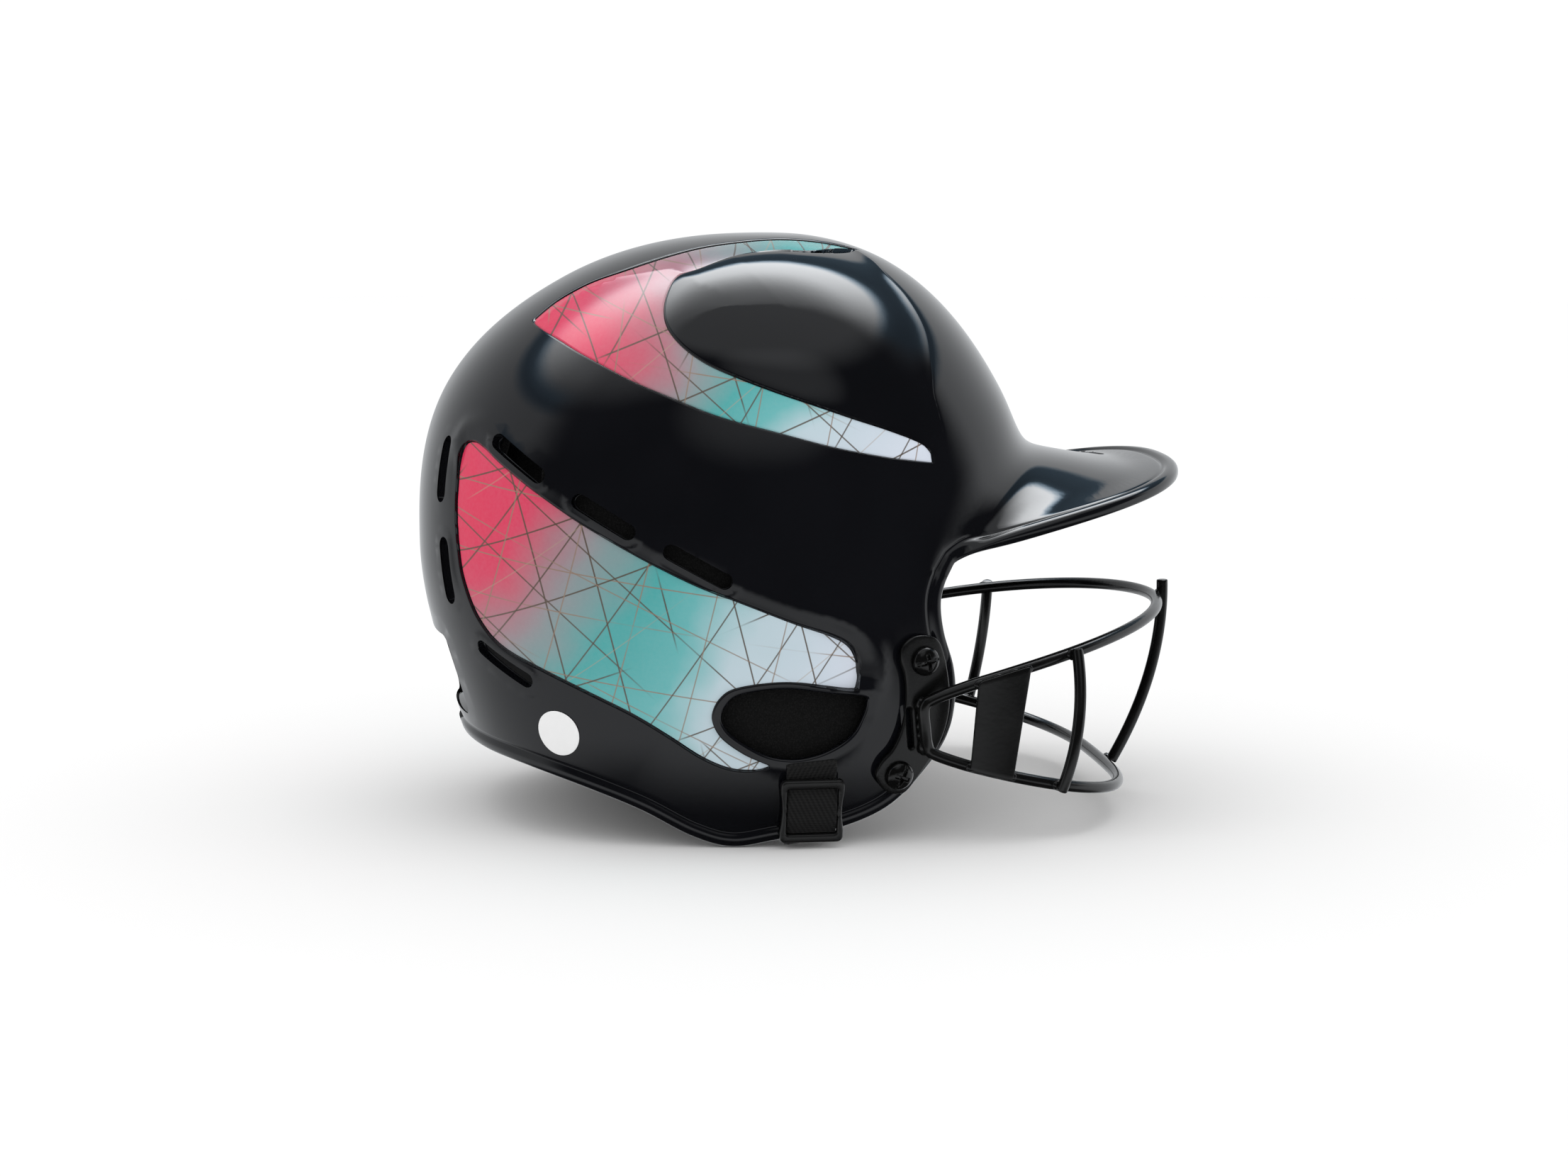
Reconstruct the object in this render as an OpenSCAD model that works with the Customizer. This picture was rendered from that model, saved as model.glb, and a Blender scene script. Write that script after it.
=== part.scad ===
// Batting helmet with a screwed-on wire face guard, sizes in millimetres.
// +X is forward, +Y the wearer's left, +Z up. It stands on z = 0.

/* [Shell] */
// half width of the shell before the ear guards swell
shell_half_width = 110; // [102:1:118]
// roundness of the shell's cross-section
shell_round = 2.4; // [2.1:0.1:2.8]
// wall of the shell
shell_wall = 4; // [3:0.5:5]
// side view radii from the brow up to the crown
radii_front = [133, 133, 135.7, 127.2]; // [120:0.1:150]
// side view radii from the crown down to the nape
radii_rear = [126.8, 130.3, 124.6, 128]; // [120:0.1:150]
// side view radii below the nape and the ears
radii_low = [155, 190, 180, 150]; // [140:0.5:200]
// swell of the ear guards
ear_bulge = 4; // [2:0.5:6]
// reach of that swell
ear_spread = 45; // [35:1:55]
// depth of the ear flaps below the shell's centre
flap_depth = 110; // [104:0.5:116]
// distance from the part's middle back to the shell's centre
centre_back = 35.3; // [25:0.1:45]

/* [Rim] */
// width of the raised bead along the rim
bead_width = 4.5; // [3.5:0.1:5.5]
// height of the bead
bead_height = 1.1; // [0.8:0.1:1.2]
// roundover of the rim's edge
rim_edge = 0.6; // [0.4:0.1:0.8]

/* [Bill] */
// length of the bill in front of the brow
bill_length = 68; // [56:0.5:72]
// half angle that the bill spans, seen from the shell's centre
bill_span = 48.5; // [46:0.1:50]
// height of the brow above the shell's centre
brow_rise = 36.5; // [33:0.5:40]
// drop of the brow from the middle to the temples
brow_drop = 37.5; // [34:0.5:40]
// slope of the bill down to its edge
bill_slope = 3; // [0:0.5:8]
// sharpness of the hollow between brow and bill
brow_hollow = 3; // [1.5:0.1:4]

/* [Openings] */
// width of the air vents
vent_width = 6; // [4.5:0.1:7]
// width of the ponytail port
port_width = 70; // [50:1:76]
// height of the ponytail port
port_height = 33; // [26:1:36]
// bottom of the ponytail port below the shell's centre
port_depth = 66; // [64:0.5:67]
// corner radius of the ponytail port
port_corner = 9; // [4:0.5:12]
// radius of the ear hole's rear end
ear_rear_r = 11.6; // [10:0.1:12]
// radius of the ear hole's bottom
ear_low_r = 11.5; // [10:0.1:12]
// radius of the ear hole's front
ear_front_r = 13; // [11:0.1:13.5]
// radius of the ear hole's front tip
ear_tip_r = 1.8; // [1:0.1:3]

/* [Panels] */
// depth of the panel pockets
pocket_depth = 1; // [0.7:0.1:1.4]
// thickness of the printed panels
panel_thick = 0.6; // [0.4:0.1:0.6]
// gap around each panel
panel_gap = 0.3; // [0.2:0.1:0.5]
// film of glue under the panels and the label
glue = 0.1; // [0.05:0.05:0.1]
// diameter of the round label
label_d = 19; // [14:1:22]
// thickness of the round label
label_thick = 0.3; // [0.2:0.1:0.5]
// lift of the label over the curved shell
label_lift = 0.25; // [0.25:0.05:0.5]

/* [Face guard] */
// diameter of the guard's wire
wire_d = 4.8; // [4:0.1:5.2]
// reach of the upper hoop in front of the part's middle
top_reach = 150.5; // [140:0.5:152]
// reach of the lower hoop in front of the part's middle
low_reach = 129; // [122:0.5:132]
// height of the upper hoop at its front
top_height = 83; // [76:0.5:88]
// height of the lower hoop at its front
low_height = 12.4; // [8:0.1:16]
// roundness of the upper hoop in plan
top_round = 1.95; // [1.85:0.05:2.1]
// roundness of the lower hoop in plan
low_round = 3; // [2.6:0.1:3.2]
// height of the side bars' ends beyond the hoops
bar_stub = 4; // [3:0.5:6]
// height of the centre bar's end above the upper hoop
centre_stub = 9; // [4:0.5:12]
// bow of the upright bars
bar_bow = 6; // [3:0.5:8]
// place of the side bars along the upper hoop
bar_place_top = 0.355; // [0.32:0.005:0.45]
// place of the side bars along the lower hoop
bar_place_low = 0.39; // [0.34:0.005:0.48]
// gap at the welds
weld_gap = 0.1; // [0.05:0.05:0.2]
// start of the side plates along the hoops
plate_start = 0.115; // [0.1:0.005:0.14]
// end of the side plates along the hoops
plate_end = 0.238; // [0.18:0.002:0.26]
// thickness of the side plates
side_plate_thick = 1.6; // [1:0.1:2]

/* [Mount plates] */
// thickness of the mount plates
mount_thick = 2; // [1.5:0.1:2.5]
// lift of the mount plates over the shell, which the spacers fill
mount_lift = 1.5; // [1.5:0.1:2]
// diameter of the spacers
spacer_d = 11; // [9:0.5:12]
// diameter of the screws
screw_d = 4.8; // [4:0.1:5]
// clearance of the screw holes
screw_clear = 0.5; // [0.3:0.1:0.8]
// diameter of the screw heads
head_d = 11.2; // [9:0.1:12]
// height of the screw heads
head_h = 3.2; // [2.4:0.1:4]
// width of the slots in the screw heads
slot_w = 1.4; // [1:0.1:1.8]
// depth of the slots in the screw heads
slot_deep = 1.2; // [0.6:0.1:1.6]
// diameter of the nuts' flanges
nut_d = 12; // [10:0.5:13]
// height of the nuts
nut_h = 4; // [3:0.5:5]
// gap under heads, spacers and nuts
seat_gap = 0.1; // [0.05:0.05:0.15]

/* [Liner] */
// thickness of the pads at their middle
pad_thick = 10; // [7:0.5:12]
// thickness of the pads at their edges
pad_edge = 4; // [3:0.5:5]
// gap between pads and shell
pad_gap = 0.6; // [0.5:0.1:0.8]
// gap between the jaw pads and the webbing that passes behind them
jaw_clear = 0.6; // [0.5:0.1:0.8]
// share by which the pads' sides draw in
pad_draw = 0.06; // [0.02:0.01:0.1]

/* [Chin strap] */
// width of the webbing
strap_width = 20; // [18:0.5:21]
// thickness of the webbing
strap_thick = 1.2; // [0.9:0.1:1.3]
// gap between webbing and shell
strap_gap = 0.5; // [0.4:0.05:0.6]
// backward sag of the slack strap
strap_sag = 50; // [35:1:60]
// width of the slider buckles
slider_w = 25.5; // [24.5:0.5:28]
// length of the slider buckles
slider_l = 27; // [26:0.5:29]
// thickness of the slider buckles
slider_thick = 3; // [2.4:0.1:3.4]
// width of the slider's end bars
slider_bar = 3.6; // [3:0.1:4]
// width of the slider's side bars
slider_side = 2.6; // [2:0.1:2.6]
// waist of the slider's sides
slider_waist = 0.8; // [0.4:0.1:1]
// gap between slider and webbing
slider_gap = 0.7; // [0.6:0.1:0.9]

/* [Hidden] */
// the rolled edge leans in, so the rim ends this much higher
rim_lean = 0.39;
centre = [-centre_back, 0, flap_depth + rim_edge - rim_lean];
radii = concat(radii_front, radii_rear, radii_low);
radii_step = 30;
// place of the ear guards' swell, from the shell's centre
ear_place = [30, -55];
// the swell fades out towards the crown above this half width
swell_full = 60;
// the rim in side view, from temple to nape, from the shell's centre, and the depth it is drawn at
rim_drawn = 110;
rim_side = [
    [82.5, -1], [77.5, -8], [76.5, -15], [79, -26], [83, -40], [83.5, -53], [81, -66.5],
    [73.5, -78.5], [57, -95], [36, -103.5], [11, -107.4], [-7, -110], [-23, -105.5],
    [-43, -95], [-65, -86.5], [-86, -80.5], [-100, -78], [-107.3, -76.8], [-109.6, -76.5]
];
// the bill's edge fans out by this share of the angle from the middle
bill_fan = 0.75;
// where the meridians leave the dome, in degrees above the centre
belt_front = 27;
belt_temple = 14;
belt_rear = 3;
// ear hole circles, from the shell's centre
ear_rear_at = [-1.5, -57.7];
ear_low_at = [14, -63.5];
ear_front_at = [28, -59.5];
ear_tip_at = [43, -51];
// vents by their ends, forward and roll angles seen from the shell's centre
vents = [
    [[-61, 40], [-67, 60]], [[-68, 81], [-65, 107]], [[-55.5, 117], [-43, 119]],
    [[-48, 54], [-40, 67]], [[-34, 73], [-24, 81]], [[-17, 84], [-5, 91]]
];
// crown panel edges in the same angles, from its front tip round to its lower front
crown_outer = [
    [24.5, 8.3], [16, 9], [9.5, 9.5], [2.5, 11], [-5, 13], [-19, 16.5], [-33, 16.7], [-38, 20.5],
    [-35.3, 30.5], [-30, 40], [-22.5, 48.5], [-14.5, 54], [-6, 58.5], [5, 62], [16, 64.5],
    [26, 66], [34, 66.2], [36.8, 65.5]
];
crown_inner = [
    [23.5, 9.7], [15, 16.5], [8.5, 17.6], [1.5, 19.5], [-6, 23.5], [-10.3, 25.5], [-12.6, 30],
    [-13.5, 33], [-13.7, 36], [-13, 40], [-10.8, 44], [-7, 47.8], [-1.7, 50.8], [5.5, 54],
    [14.5, 57], [25, 59.5], [33, 61.2], [36.4, 63.5]
];
// side panel edges, from its rear to its front
side_upper = [
    [-62, 72], [-60.5, 61], [-56.8, 49.2], [-52.5, 52.5], [-47.5, 61.5], [-41.5, 70], [-34.8, 76.8],
    [-28, 82], [-21, 86.7], [-12.6, 91], [-6, 93.8], [-1, 96], [4, 98], [8, 99.6], [12, 101],
    [15.7, 102.2], [19.2, 104.6], [20.6, 107.8], [20.6, 110.6]
];
side_lower = [
    [-62.4, 75], [-62.3, 86], [-60.5, 98], [-57, 107.5], [-52, 112.6], [-45.5, 114.2], [-38, 115],
    [-30, 116.6], [-22, 119], [-16, 120.9], [-11.5, 120.6], [-9, 118.3], [-7.6, 115.8],
    [-5.4, 113.2], [-1, 111.4], [4, 110.9], [10, 111.3], [15.5, 112.1], [19.8, 112.8]
];
label_at = [-35, 127.5];
// mount plate edges in side view, from the shell's centre, top to bottom
mount_rear = [
    [64, -25.5], [59, -29], [58.2, -34.5], [60.2, -42], [60.7, -50], [60.2, -57], [58.6, -64],
    [55.5, -70.5], [51, -75.5], [49, -81], [51.5, -86], [55.5, -88.8]
];
mount_front = [
    [71, -26], [74.5, -29], [76.5, -34.5], [78.2, -42], [79.2, -50], [79, -57.5], [77.3, -65],
    [74, -72.5], [69.5, -79], [65.5, -84.5], [62.5, -88.2], [60, -89.5]
];
screw_at = [[67.9, -35.6], [58.3, -81.2]];
screw_turn = [10, 65];
leg_at = [[66.3, -51.9], [67, -62], [68.3, -71.4]];
// strap and slider places along X, from the shell's centre
strap_x = 23.5;
// height of the slider's foot over the rim
slider_middle = 4;
// gap between the slack strap and the loops that hold it
hinge_gap = 0.6;
// grid of the shell: columns round the bill and the sides, rows over the dome and the skirt
half_columns_bill = 11;
half_columns_side = 27;
dome_rows = 10;
skirt_rows = 9;

function lerp(a, b, t) = a + (b - a) * t;
function unit(v) = v / norm(v);
function clamp(t) = min(max(t, 0), 1);

// smooth curve through the points p, at t from 0 to 1
function curve(p, t) =
    let(n = len(p) - 1)
    let(s = clamp(t) * n)
    let(i = min(floor(s), n - 1))
    let(f = s - i, p1 = p[i], p2 = p[i + 1])
    let(p0 = i > 0 ? p[i - 1] : 2 * p1 - p2)
    let(p3 = i < n - 1 ? p[i + 2] : 2 * p2 - p1)
    p1 + f / 2 * (p2 - p0 + f * (2 * p0 - 5 * p1 + 4 * p2 - p3 + f * (3 * (p1 - p2) + p3 - p0)));

// running length along the points p
function run_lengths(p) = [
    for (i = 0, s = 0; i < len(p); i = i + 1, s = i < len(p) ? s + norm(p[i] - p[i - 1]) : s) s
];

// side view radius of the shell in one direction
function side_radius(ang) =
    let(n = len(radii), s = (ang < 0 ? ang + 360 : ang) / radii_step)
    let(i = floor(s))
    let(f = s - i, p0 = radii[(i + n - 1) % n], p1 = radii[i % n])
    let(p2 = radii[(i + 1) % n], p3 = radii[(i + 2) % n])
    p1 + f / 2 * (p2 - p0 + f * (2 * p0 - 5 * p1 + 4 * p2 - p3 + f * (3 * (p1 - p2) + p3 - p0)));

function swell(q, half) =
    ear_bulge * clamp(half / swell_full)
    * exp(-(pow(q.x - ear_place.x, 2) + pow(q.y - ear_place.y, 2)) / (2 * pow(ear_spread, 2)));

// point of the shell's outer surface in direction d, seen from the shell's centre
function dome(d) =
    let(tau = norm([d.x, d.z]) / side_radius(atan2(d.z, d.x)))
    let(r = pow(pow(abs(d.y) / shell_half_width, shell_round) + pow(tau, shell_round), -1 / shell_round))
    let(q = r * d)
    centre + [q.x, q.y + sign(q.y) * swell([q.x, q.z], abs(q.y)), q.z];

function dome_normal(d) =
    let(e = 0.01)
    let(a = unit(cross(d, abs(d.z) < 0.9 ? [0, 0, 1] : [1, 0, 0])))
    let(b = cross(d, a))
    unit(cross(dome(unit(d + e * a)) - dome(unit(d - e * a)), dome(unit(d + e * b)) - dome(unit(d - e * b))));

// the same, raised by h along the surface's normal
function raised(d, h) = dome(d) + h * dome_normal(d);

// directions: by forward and roll angles, by bearing and height, and by a side view place
function by_roll(p) = [sin(p.x), -cos(p.x) * sin(p.y), cos(p.x) * cos(p.y)];
function by_bearing(az, el) = [cos(az) * cos(el), -sin(az) * cos(el), sin(el)];
function side_half(q) =
    let(t = norm(q) / side_radius(atan2(q.y, q.x)))
    shell_half_width * pow(max(1 - pow(t, shell_round), 0), 1 / shell_round);
function by_side(q) = unit([q.x, -side_half(q), q.y]);

// height angle at which the shell has the height z on one bearing
function find_height(az, z, low, high, n) =
    let(m = (low + high) / 2)
    n == 0 ? m
    : dome(by_bearing(az, m)).z > z ? find_height(az, z, low, m, n - 1) : find_height(az, z, m, high, n - 1);

// the rim as points of the shell, evenly spaced from temple to nape
flap_share = flap_depth / rim_drawn;
// places drawn on the flaps move with the flaps' depth
function on_flap(p) = [p.x, p.y * flap_share];
rim_scaled = [for (p = rim_side) on_flap(p)];
rim_nape = rim_scaled[len(rim_scaled) - 1];
rim_fine = [for (i = [0:160]) curve(rim_scaled, i / 160)];
rim_space = [for (p = rim_fine) centre + [p.x, -side_half(p) - swell(p, side_half(p)), p.y]];
rim_run = run_lengths(rim_space);
rim_table = [for (i = [0:160]) [rim_run[i], i / 160]];
function rim_place(w) = curve(rim_scaled, lookup(w * rim_run[160], rim_table));
// height of the rim below the ear for one place along X
rim_low = [for (i = [70:110]) [-rim_fine[i].x, rim_fine[i].y]];
function rim_height(x) = lookup(-x, rim_low);

// lowest and highest elevation that is searched for a height on the dome
search_low = -30;
search_high = 60;
// one column of the shell: belt direction, lower direction and the bill's reach there
function bill_column(v) =
    let(az = bill_span * v)
    let(el = find_height(az, centre.z + brow_rise - brow_drop * v * v, search_low, search_high, 26))
    let(reach = bill_length * pow(1 - pow(v, 3), 1.5))
    [by_bearing(az, belt_front + (belt_temple - belt_front) * pow(v, 1.2)), by_bearing(az, el),
     [reach * cos(bill_fan * az), -reach * sin(bill_fan * az), -bill_slope * reach / bill_length]];
function side_column(w) =
    [by_bearing(lerp(bill_span, 180, w), belt_temple + (belt_rear - belt_temple) * w * w),
     w < 1 ? by_side(rim_place(w)) : unit([rim_nape.x, 0, rim_nape.y]),
     [0, 0, 0]];
columns = concat(
    [for (i = [0:half_columns_bill]) bill_column(i / half_columns_bill)],
    [for (i = [1:half_columns_side]) side_column(i / half_columns_side)]);
half_count = len(columns) - 1;

function turn_to(a, b, t) =
    let(w = acos(min(max(a * b, -1), 1)))
    (sin((1 - t) * w) * a + sin(t * w) * b) / sin(w);

// path of a column from the belt to the rim, with the hollow where the bill leaves the brow
function skirt(c, s) =
    let(den = pow(1 - s, 2) + 2 * brow_hollow * s * (1 - s) + s * s)
    let(q = (2 * brow_hollow * s * (1 - s) + s * s) / den)
    dome(unit(turn_to(c[0], c[1], q))) + c[2] * s * s / den;

bead_start = bead_width + 1.5;
fine = 36;
function column_points(c) =
    let(p = [for (i = [0:fine]) skirt(c, i / fine)])
    let(run = run_lengths(p))
    let(table = [for (i = [0:fine]) [run[i], i / fine]])
    let(last = run[fine] - bead_start)
    concat(
        [for (i = [1:dome_rows]) dome(turn_to([0, 0, 1], c[0], i / dome_rows))],
        [for (i = [1:skirt_rows]) skirt(c, lookup(last * i / skirt_rows, table))],
        [skirt(c, 1)]);

half_grid = [for (c = columns) column_points(c)];
function flip_y(p) = [p.x, -p.y, p.z];
shell_grid = concat(half_grid, [for (j = [half_count - 1:-1:1]) [for (p = half_grid[j]) flip_y(p)]]);
column_count = len(shell_grid);
row_count = dome_rows + skirt_rows + 1;
function grid_normal(j, i) =
    let(before = shell_grid[(j + column_count - 1) % column_count])
    let(after = shell_grid[(j + 1) % column_count])
    let(here = shell_grid[j])
    unit(cross(after[i] - before[i], here[min(i + 1, row_count - 1)] - here[max(i - 1, 0)]));

// section of the rim: height above the edge and offset along the normal
rim_section = [
    [bead_width, 0], [bead_width - 0.9, bead_height], [0.5, bead_height], [-rim_edge, 0],
    [-rim_edge, 0.8 - shell_wall], [0.4, -shell_wall]
];
shell_rows = concat(
    [for (i = [0:row_count - 2]) [for (j = [0:column_count - 1]) shell_grid[j][i]]],
    [for (s = rim_section) [
        for (j = [0:column_count - 1])
            let(edge = shell_grid[j][row_count - 1])
            edge + s.x * unit(shell_grid[j][row_count - 2] - edge) + s.y * grid_normal(j, row_count - 1)
    ]],
    [for (i = [row_count - 2:-1:0]) [
        for (j = [0:column_count - 1]) shell_grid[j][i] - shell_wall * grid_normal(j, i)
    ]]);

// triangles of a grid of points, rows by columns
function grid_faces(rows, cols, wrap_rows, wrap_cols) = [
    for (i = [0:wrap_rows ? rows - 1 : rows - 2])
        for (j = [0:wrap_cols ? cols - 1 : cols - 2])
            let(a = i * cols + j, b = ((i + 1) % rows) * cols + j)
            let(c = ((i + 1) % rows) * cols + (j + 1) % cols, d = i * cols + (j + 1) % cols)
            each [[a, b, c], [a, c, d]]
];

function flat(list) = [for (row = list) each row];

// closed solid from rings of points with a point at each end
module capped(rings, start, end) {
    n = len(rings[0]);
    last = len(rings) * n;
    polyhedron(
        points = concat(flat(rings), [start, end]),
        faces = concat(
            grid_faces(len(rings), n, false, true),
            [for (j = [0:n - 1]) [last, j, (j + 1) % n]],
            [for (j = [0:n - 1]) [last + 1, last - n + (j + 1) % n, last - n + j]]),
        convexity = 10);
}

// closed slab between an outer and an inner grid of points
module slab(outer, inner) {
    rows = len(outer);
    cols = len(outer[0]);
    n = rows * cols;
    skin = grid_faces(rows, cols, false, false);
    polyhedron(
        points = concat(flat(outer), flat(inner)),
        faces = concat(
            skin,
            [for (f = skin) [f[0] + n, f[2] + n, f[1] + n]],
            [for (i = [0:rows - 2]) let(a = i * cols, b = a + cols) each [[b, a, a + n], [b, a + n, b + n]]],
            [for (i = [0:rows - 2]) let(a = (i + 1) * cols - 1, b = a + cols)
                each [[a, b, b + n], [a, b + n, a + n]]],
            [for (j = [0:cols - 2]) each [[j, j + 1, j + 1 + n], [j, j + 1 + n, j + n]]],
            [for (j = [0:cols - 2]) let(a = n - cols + j)
                each [[a + 1, a, a + n], [a + 1, a + n, a + 1 + n]]]),
        convexity = 6);
}

// places a child with its Z axis along n and its X axis near x
module seated(at, n, x = [1, 0, 0]) {
    u = unit(x - (x * n) * n);
    v = cross(n, u);
    multmatrix([[u.x, v.x, n.x, at.x], [u.y, v.y, n.y, at.y], [u.z, v.z, n.z, at.z], [0, 0, 0, 1]])
        children();
}

module both_sides() {
    children();
    mirror([0, 1, 0]) children();
}

// strip on the shell between two edges given in angles, from lift low to lift high, grown all round
strip_steps = 26;
strip_across = 4;
function edge_run(edge, t) = dome(by_roll(curve(edge, t + 0.004))) - dome(by_roll(curve(edge, t - 0.004)));
function edge_out(edge, t) = unit(cross(edge_run(edge, t), dome_normal(by_roll(curve(edge, t)))));
// direction of an edge point moved by grow out of the strip, and along it at its ends
function edge_spot(edge, t, grow, turn) =
    let(along = t <= 0 ? -1 : t >= 1 ? 1 : 0)
    unit(dome(by_roll(curve(edge, t))) - centre
        + grow * (turn * edge_out(edge, t) + along * unit(edge_run(edge, t))));
function strip_layer(edge_a, edge_b, lift, grow) =
    let(across = dome(by_roll(curve(edge_a, 0.5))) - dome(by_roll(curve(edge_b, 0.5))))
    let(turn = sign(edge_out(edge_a, 0.5) * across))
    [for (i = [0:strip_steps])
        let(t = i / strip_steps)
        let(a = edge_spot(edge_a, t, grow, turn), b = edge_spot(edge_b, t, grow, -turn))
        [for (j = [0:strip_across]) raised(unit(lerp(a, b, j / strip_across)), lift)]];
module strip(edge_a, edge_b, low, high, grow) {
    slab(strip_layer(edge_a, edge_b, high, grow), strip_layer(edge_a, edge_b, low, grow));
}
pocket_top = 3;
panel_low = glue - pocket_depth;
module crown_pocket() {
    strip(crown_inner, crown_outer, -pocket_depth, pocket_top, panel_gap);
}
module side_pocket() {
    strip(side_upper, side_lower, -pocket_depth, pocket_top, panel_gap);
}
module crown_inlay() {
    strip(crown_inner, crown_outer, panel_low, panel_low + panel_thick, 0);
}
module side_inlay() {
    strip(side_upper, side_lower, panel_low, panel_low + panel_thick, 0);
}

cut_in = 14;
cut_out = 12;
module vent_cut(v) {
    a = by_roll(v[0]);
    b = by_roll(v[1]);
    mid = unit(a + b);
    n = dome_normal(mid);
    hull()
        for (d = [a, b])
            seated(dome(d), n) translate([0, 0, -cut_in]) cylinder(d = vent_width, h = cut_in + cut_out, $fn = 16);
}

module ear_outline() {
    hull() {
        translate(on_flap(ear_rear_at)) circle(r = ear_rear_r, $fn = 40);
        translate(on_flap(ear_low_at)) circle(r = ear_low_r, $fn = 40);
        translate(on_flap(ear_front_at)) circle(r = ear_front_r, $fn = 40);
        translate(on_flap(ear_tip_at)) circle(r = ear_tip_r, $fn = 16);
    }
}
ear_cut_reach = shell_half_width + ear_bulge + cut_out;
module ear_cut() {
    translate([centre.x, -shell_half_width / 2, centre.z])
        rotate([90, 0, 0]) linear_extrude(ear_cut_reach - shell_half_width / 2) ear_outline();
}

port_half = port_width / 2 - port_corner;
module port_cut() {
    translate([centre.x - radii_rear[2] / 2, 0, centre.z - port_depth + port_height / 2])
        rotate([0, -90, 0])
            linear_extrude(radii_rear[2])
                hull()
                    for (s = [-1, 1], t = [-1, 1])
                        translate([t * (port_height / 2 - port_corner), s * port_half])
                            circle(r = port_corner, $fn = 28);
}

function screw_base(k) = dome(by_side(on_flap(screw_at[k])));
function screw_axis(k) = dome_normal(by_side(on_flap(screw_at[k])));
screw_hole = screw_d + screw_clear;
module screw_cut(d, sides) {
    for (k = [0, 1])
        seated(screw_base(k), screw_axis(k))
            translate([0, 0, -cut_in]) cylinder(d = d, h = cut_in + cut_out, $fn = sides);
}

module shell() {
    color([0.03, 0.03, 0.035])
        difference() {
            capped(shell_rows, dome([0, 0, 1]), dome([0, 0, 1]) - [0, 0, shell_wall]);
            port_cut();
            both_sides() {
                for (v = vents)
                    vent_cut(v);
                ear_cut();
                crown_pocket();
                side_pocket();
                screw_cut(screw_hole, 20);
            }
        }
}

module crown_panel_right() {
    color([0.75, 0.5, 0.55]) crown_inlay();
}
module crown_panel_left() {
    color([0.75, 0.5, 0.55]) mirror([0, 1, 0]) crown_inlay();
}
module side_panel_right() {
    color([0.5, 0.75, 0.78]) side_inlay();
}
module side_panel_left() {
    color([0.5, 0.75, 0.78]) mirror([0, 1, 0]) side_inlay();
}

label_rings = 3;
label_sides = 24;
module round_label() {
    d = by_roll(label_at);
    n = dome_normal(d);
    u = unit(cross([0, 1, 0], n));
    v = cross(n, u);
    function spot(r, k, lift) =
        raised(unit(dome(d) + r * (cos(k * 360 / label_sides) * u - sin(k * 360 / label_sides) * v) - centre), lift);
    low = label_lift;
    high = label_lift + label_thick;
    color([0.9, 0.9, 0.9])
        capped(
            concat(
                [for (i = [1:label_rings]) [
                    for (k = [0:label_sides - 1]) spot(label_d / 2 * i / label_rings, k, high)]],
                [for (i = [label_rings:-1:1]) [
                    for (k = [0:label_sides - 1]) spot(label_d / 2 * i / label_rings, k, low)]]),
            raised(d, high), raised(d, low));
}

// tube of radius r along points, with a direction that the ring's first point faces
tube_sides = 8;
function tube_rings(p, ref, r, closed) =
    let(n = len(p))
    [for (i = [0:n - 1])
        let(a = closed ? p[(i + n - 1) % n] : p[max(i - 1, 0)])
        let(b = closed ? p[(i + 1) % n] : p[min(i + 1, n - 1)])
        let(t = unit(b - a))
        let(u = unit(ref[i] - (ref[i] * t) * t))
        let(v = cross(t, u))
        [for (k = [0:tube_sides - 1])
            p[i] + r * (cos(k * 360 / tube_sides) * u + sin(k * 360 / tube_sides) * v)]];

// the curved plate and shell leave a little more room under flat and round pieces
crown_room = 0.2;
nut_room = 0.5;
wire_r = wire_d / 2;
mount_top = mount_lift + mount_thick;
leg_lift = mount_top + weld_gap + crown_room + wire_r;
leg = [for (q = leg_at) raised(by_side(on_flap(q)), leg_lift)];
leg_top = leg[0];
leg_low = leg[len(leg) - 1];

// hoop point at share t of the way from the leg (0) to the front (1)
function hoop_x(from, reach, t) = lerp(from.x, reach, sin(90 * t));
function hoop_y(from, reach, x, round) =
    from.y * pow(max(1 - pow((x - from.x) / (reach - from.x), round), 0), 1 / round);
function top_hoop(t) =
    let(x = hoop_x(leg_top, top_reach, t))
    [x, t < 1 ? hoop_y(leg_top, top_reach, x, top_round) : 0,
     lerp(leg_top.z, top_height, pow((x - leg_top.x) / (top_reach - leg_top.x), 0.75))];
function low_hoop(t) =
    let(x = hoop_x(leg_low, low_reach, t))
    [x, t < 1 ? hoop_y(leg_low, low_reach, x, low_round) : 0,
     lerp(leg_low.z, low_height, pow((x - leg_low.x) / (low_reach - leg_low.x), 0.8))];
// directions out of the hoops, level and square to the wire
function square_out(a) = unit([a.y, -a.x, 0]);
function top_out(t) = square_out(top_hoop(t + 0.02) - top_hoop(t - 0.02));
function low_out(t) = square_out(low_hoop(t + 0.02) - low_hoop(t - 0.02));

hoop_steps = 15;
bend = 0.09;
hoop_half = concat(
    [for (i = [0:hoop_steps - 1]) top_hoop(lerp(1, bend, i / (hoop_steps - 1)))],
    [lerp(leg[0], top_hoop(bend / 2), 0.35), leg[0] + [0, 0, -2], leg[1], leg[2] + [0, 0, 2],
     lerp(leg[2], low_hoop(bend / 2), 0.35)],
    [for (i = [0:hoop_steps - 1]) low_hoop(lerp(bend, 1, i / (hoop_steps - 1)))]);
hoop_loop = concat(
    hoop_half,
    [for (i = [len(hoop_half) - 2:-1:1]) flip_y(hoop_half[i])]);
hoop_middle = (leg_top.x + low_reach) / 2 - 2.5 * wire_d;

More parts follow.
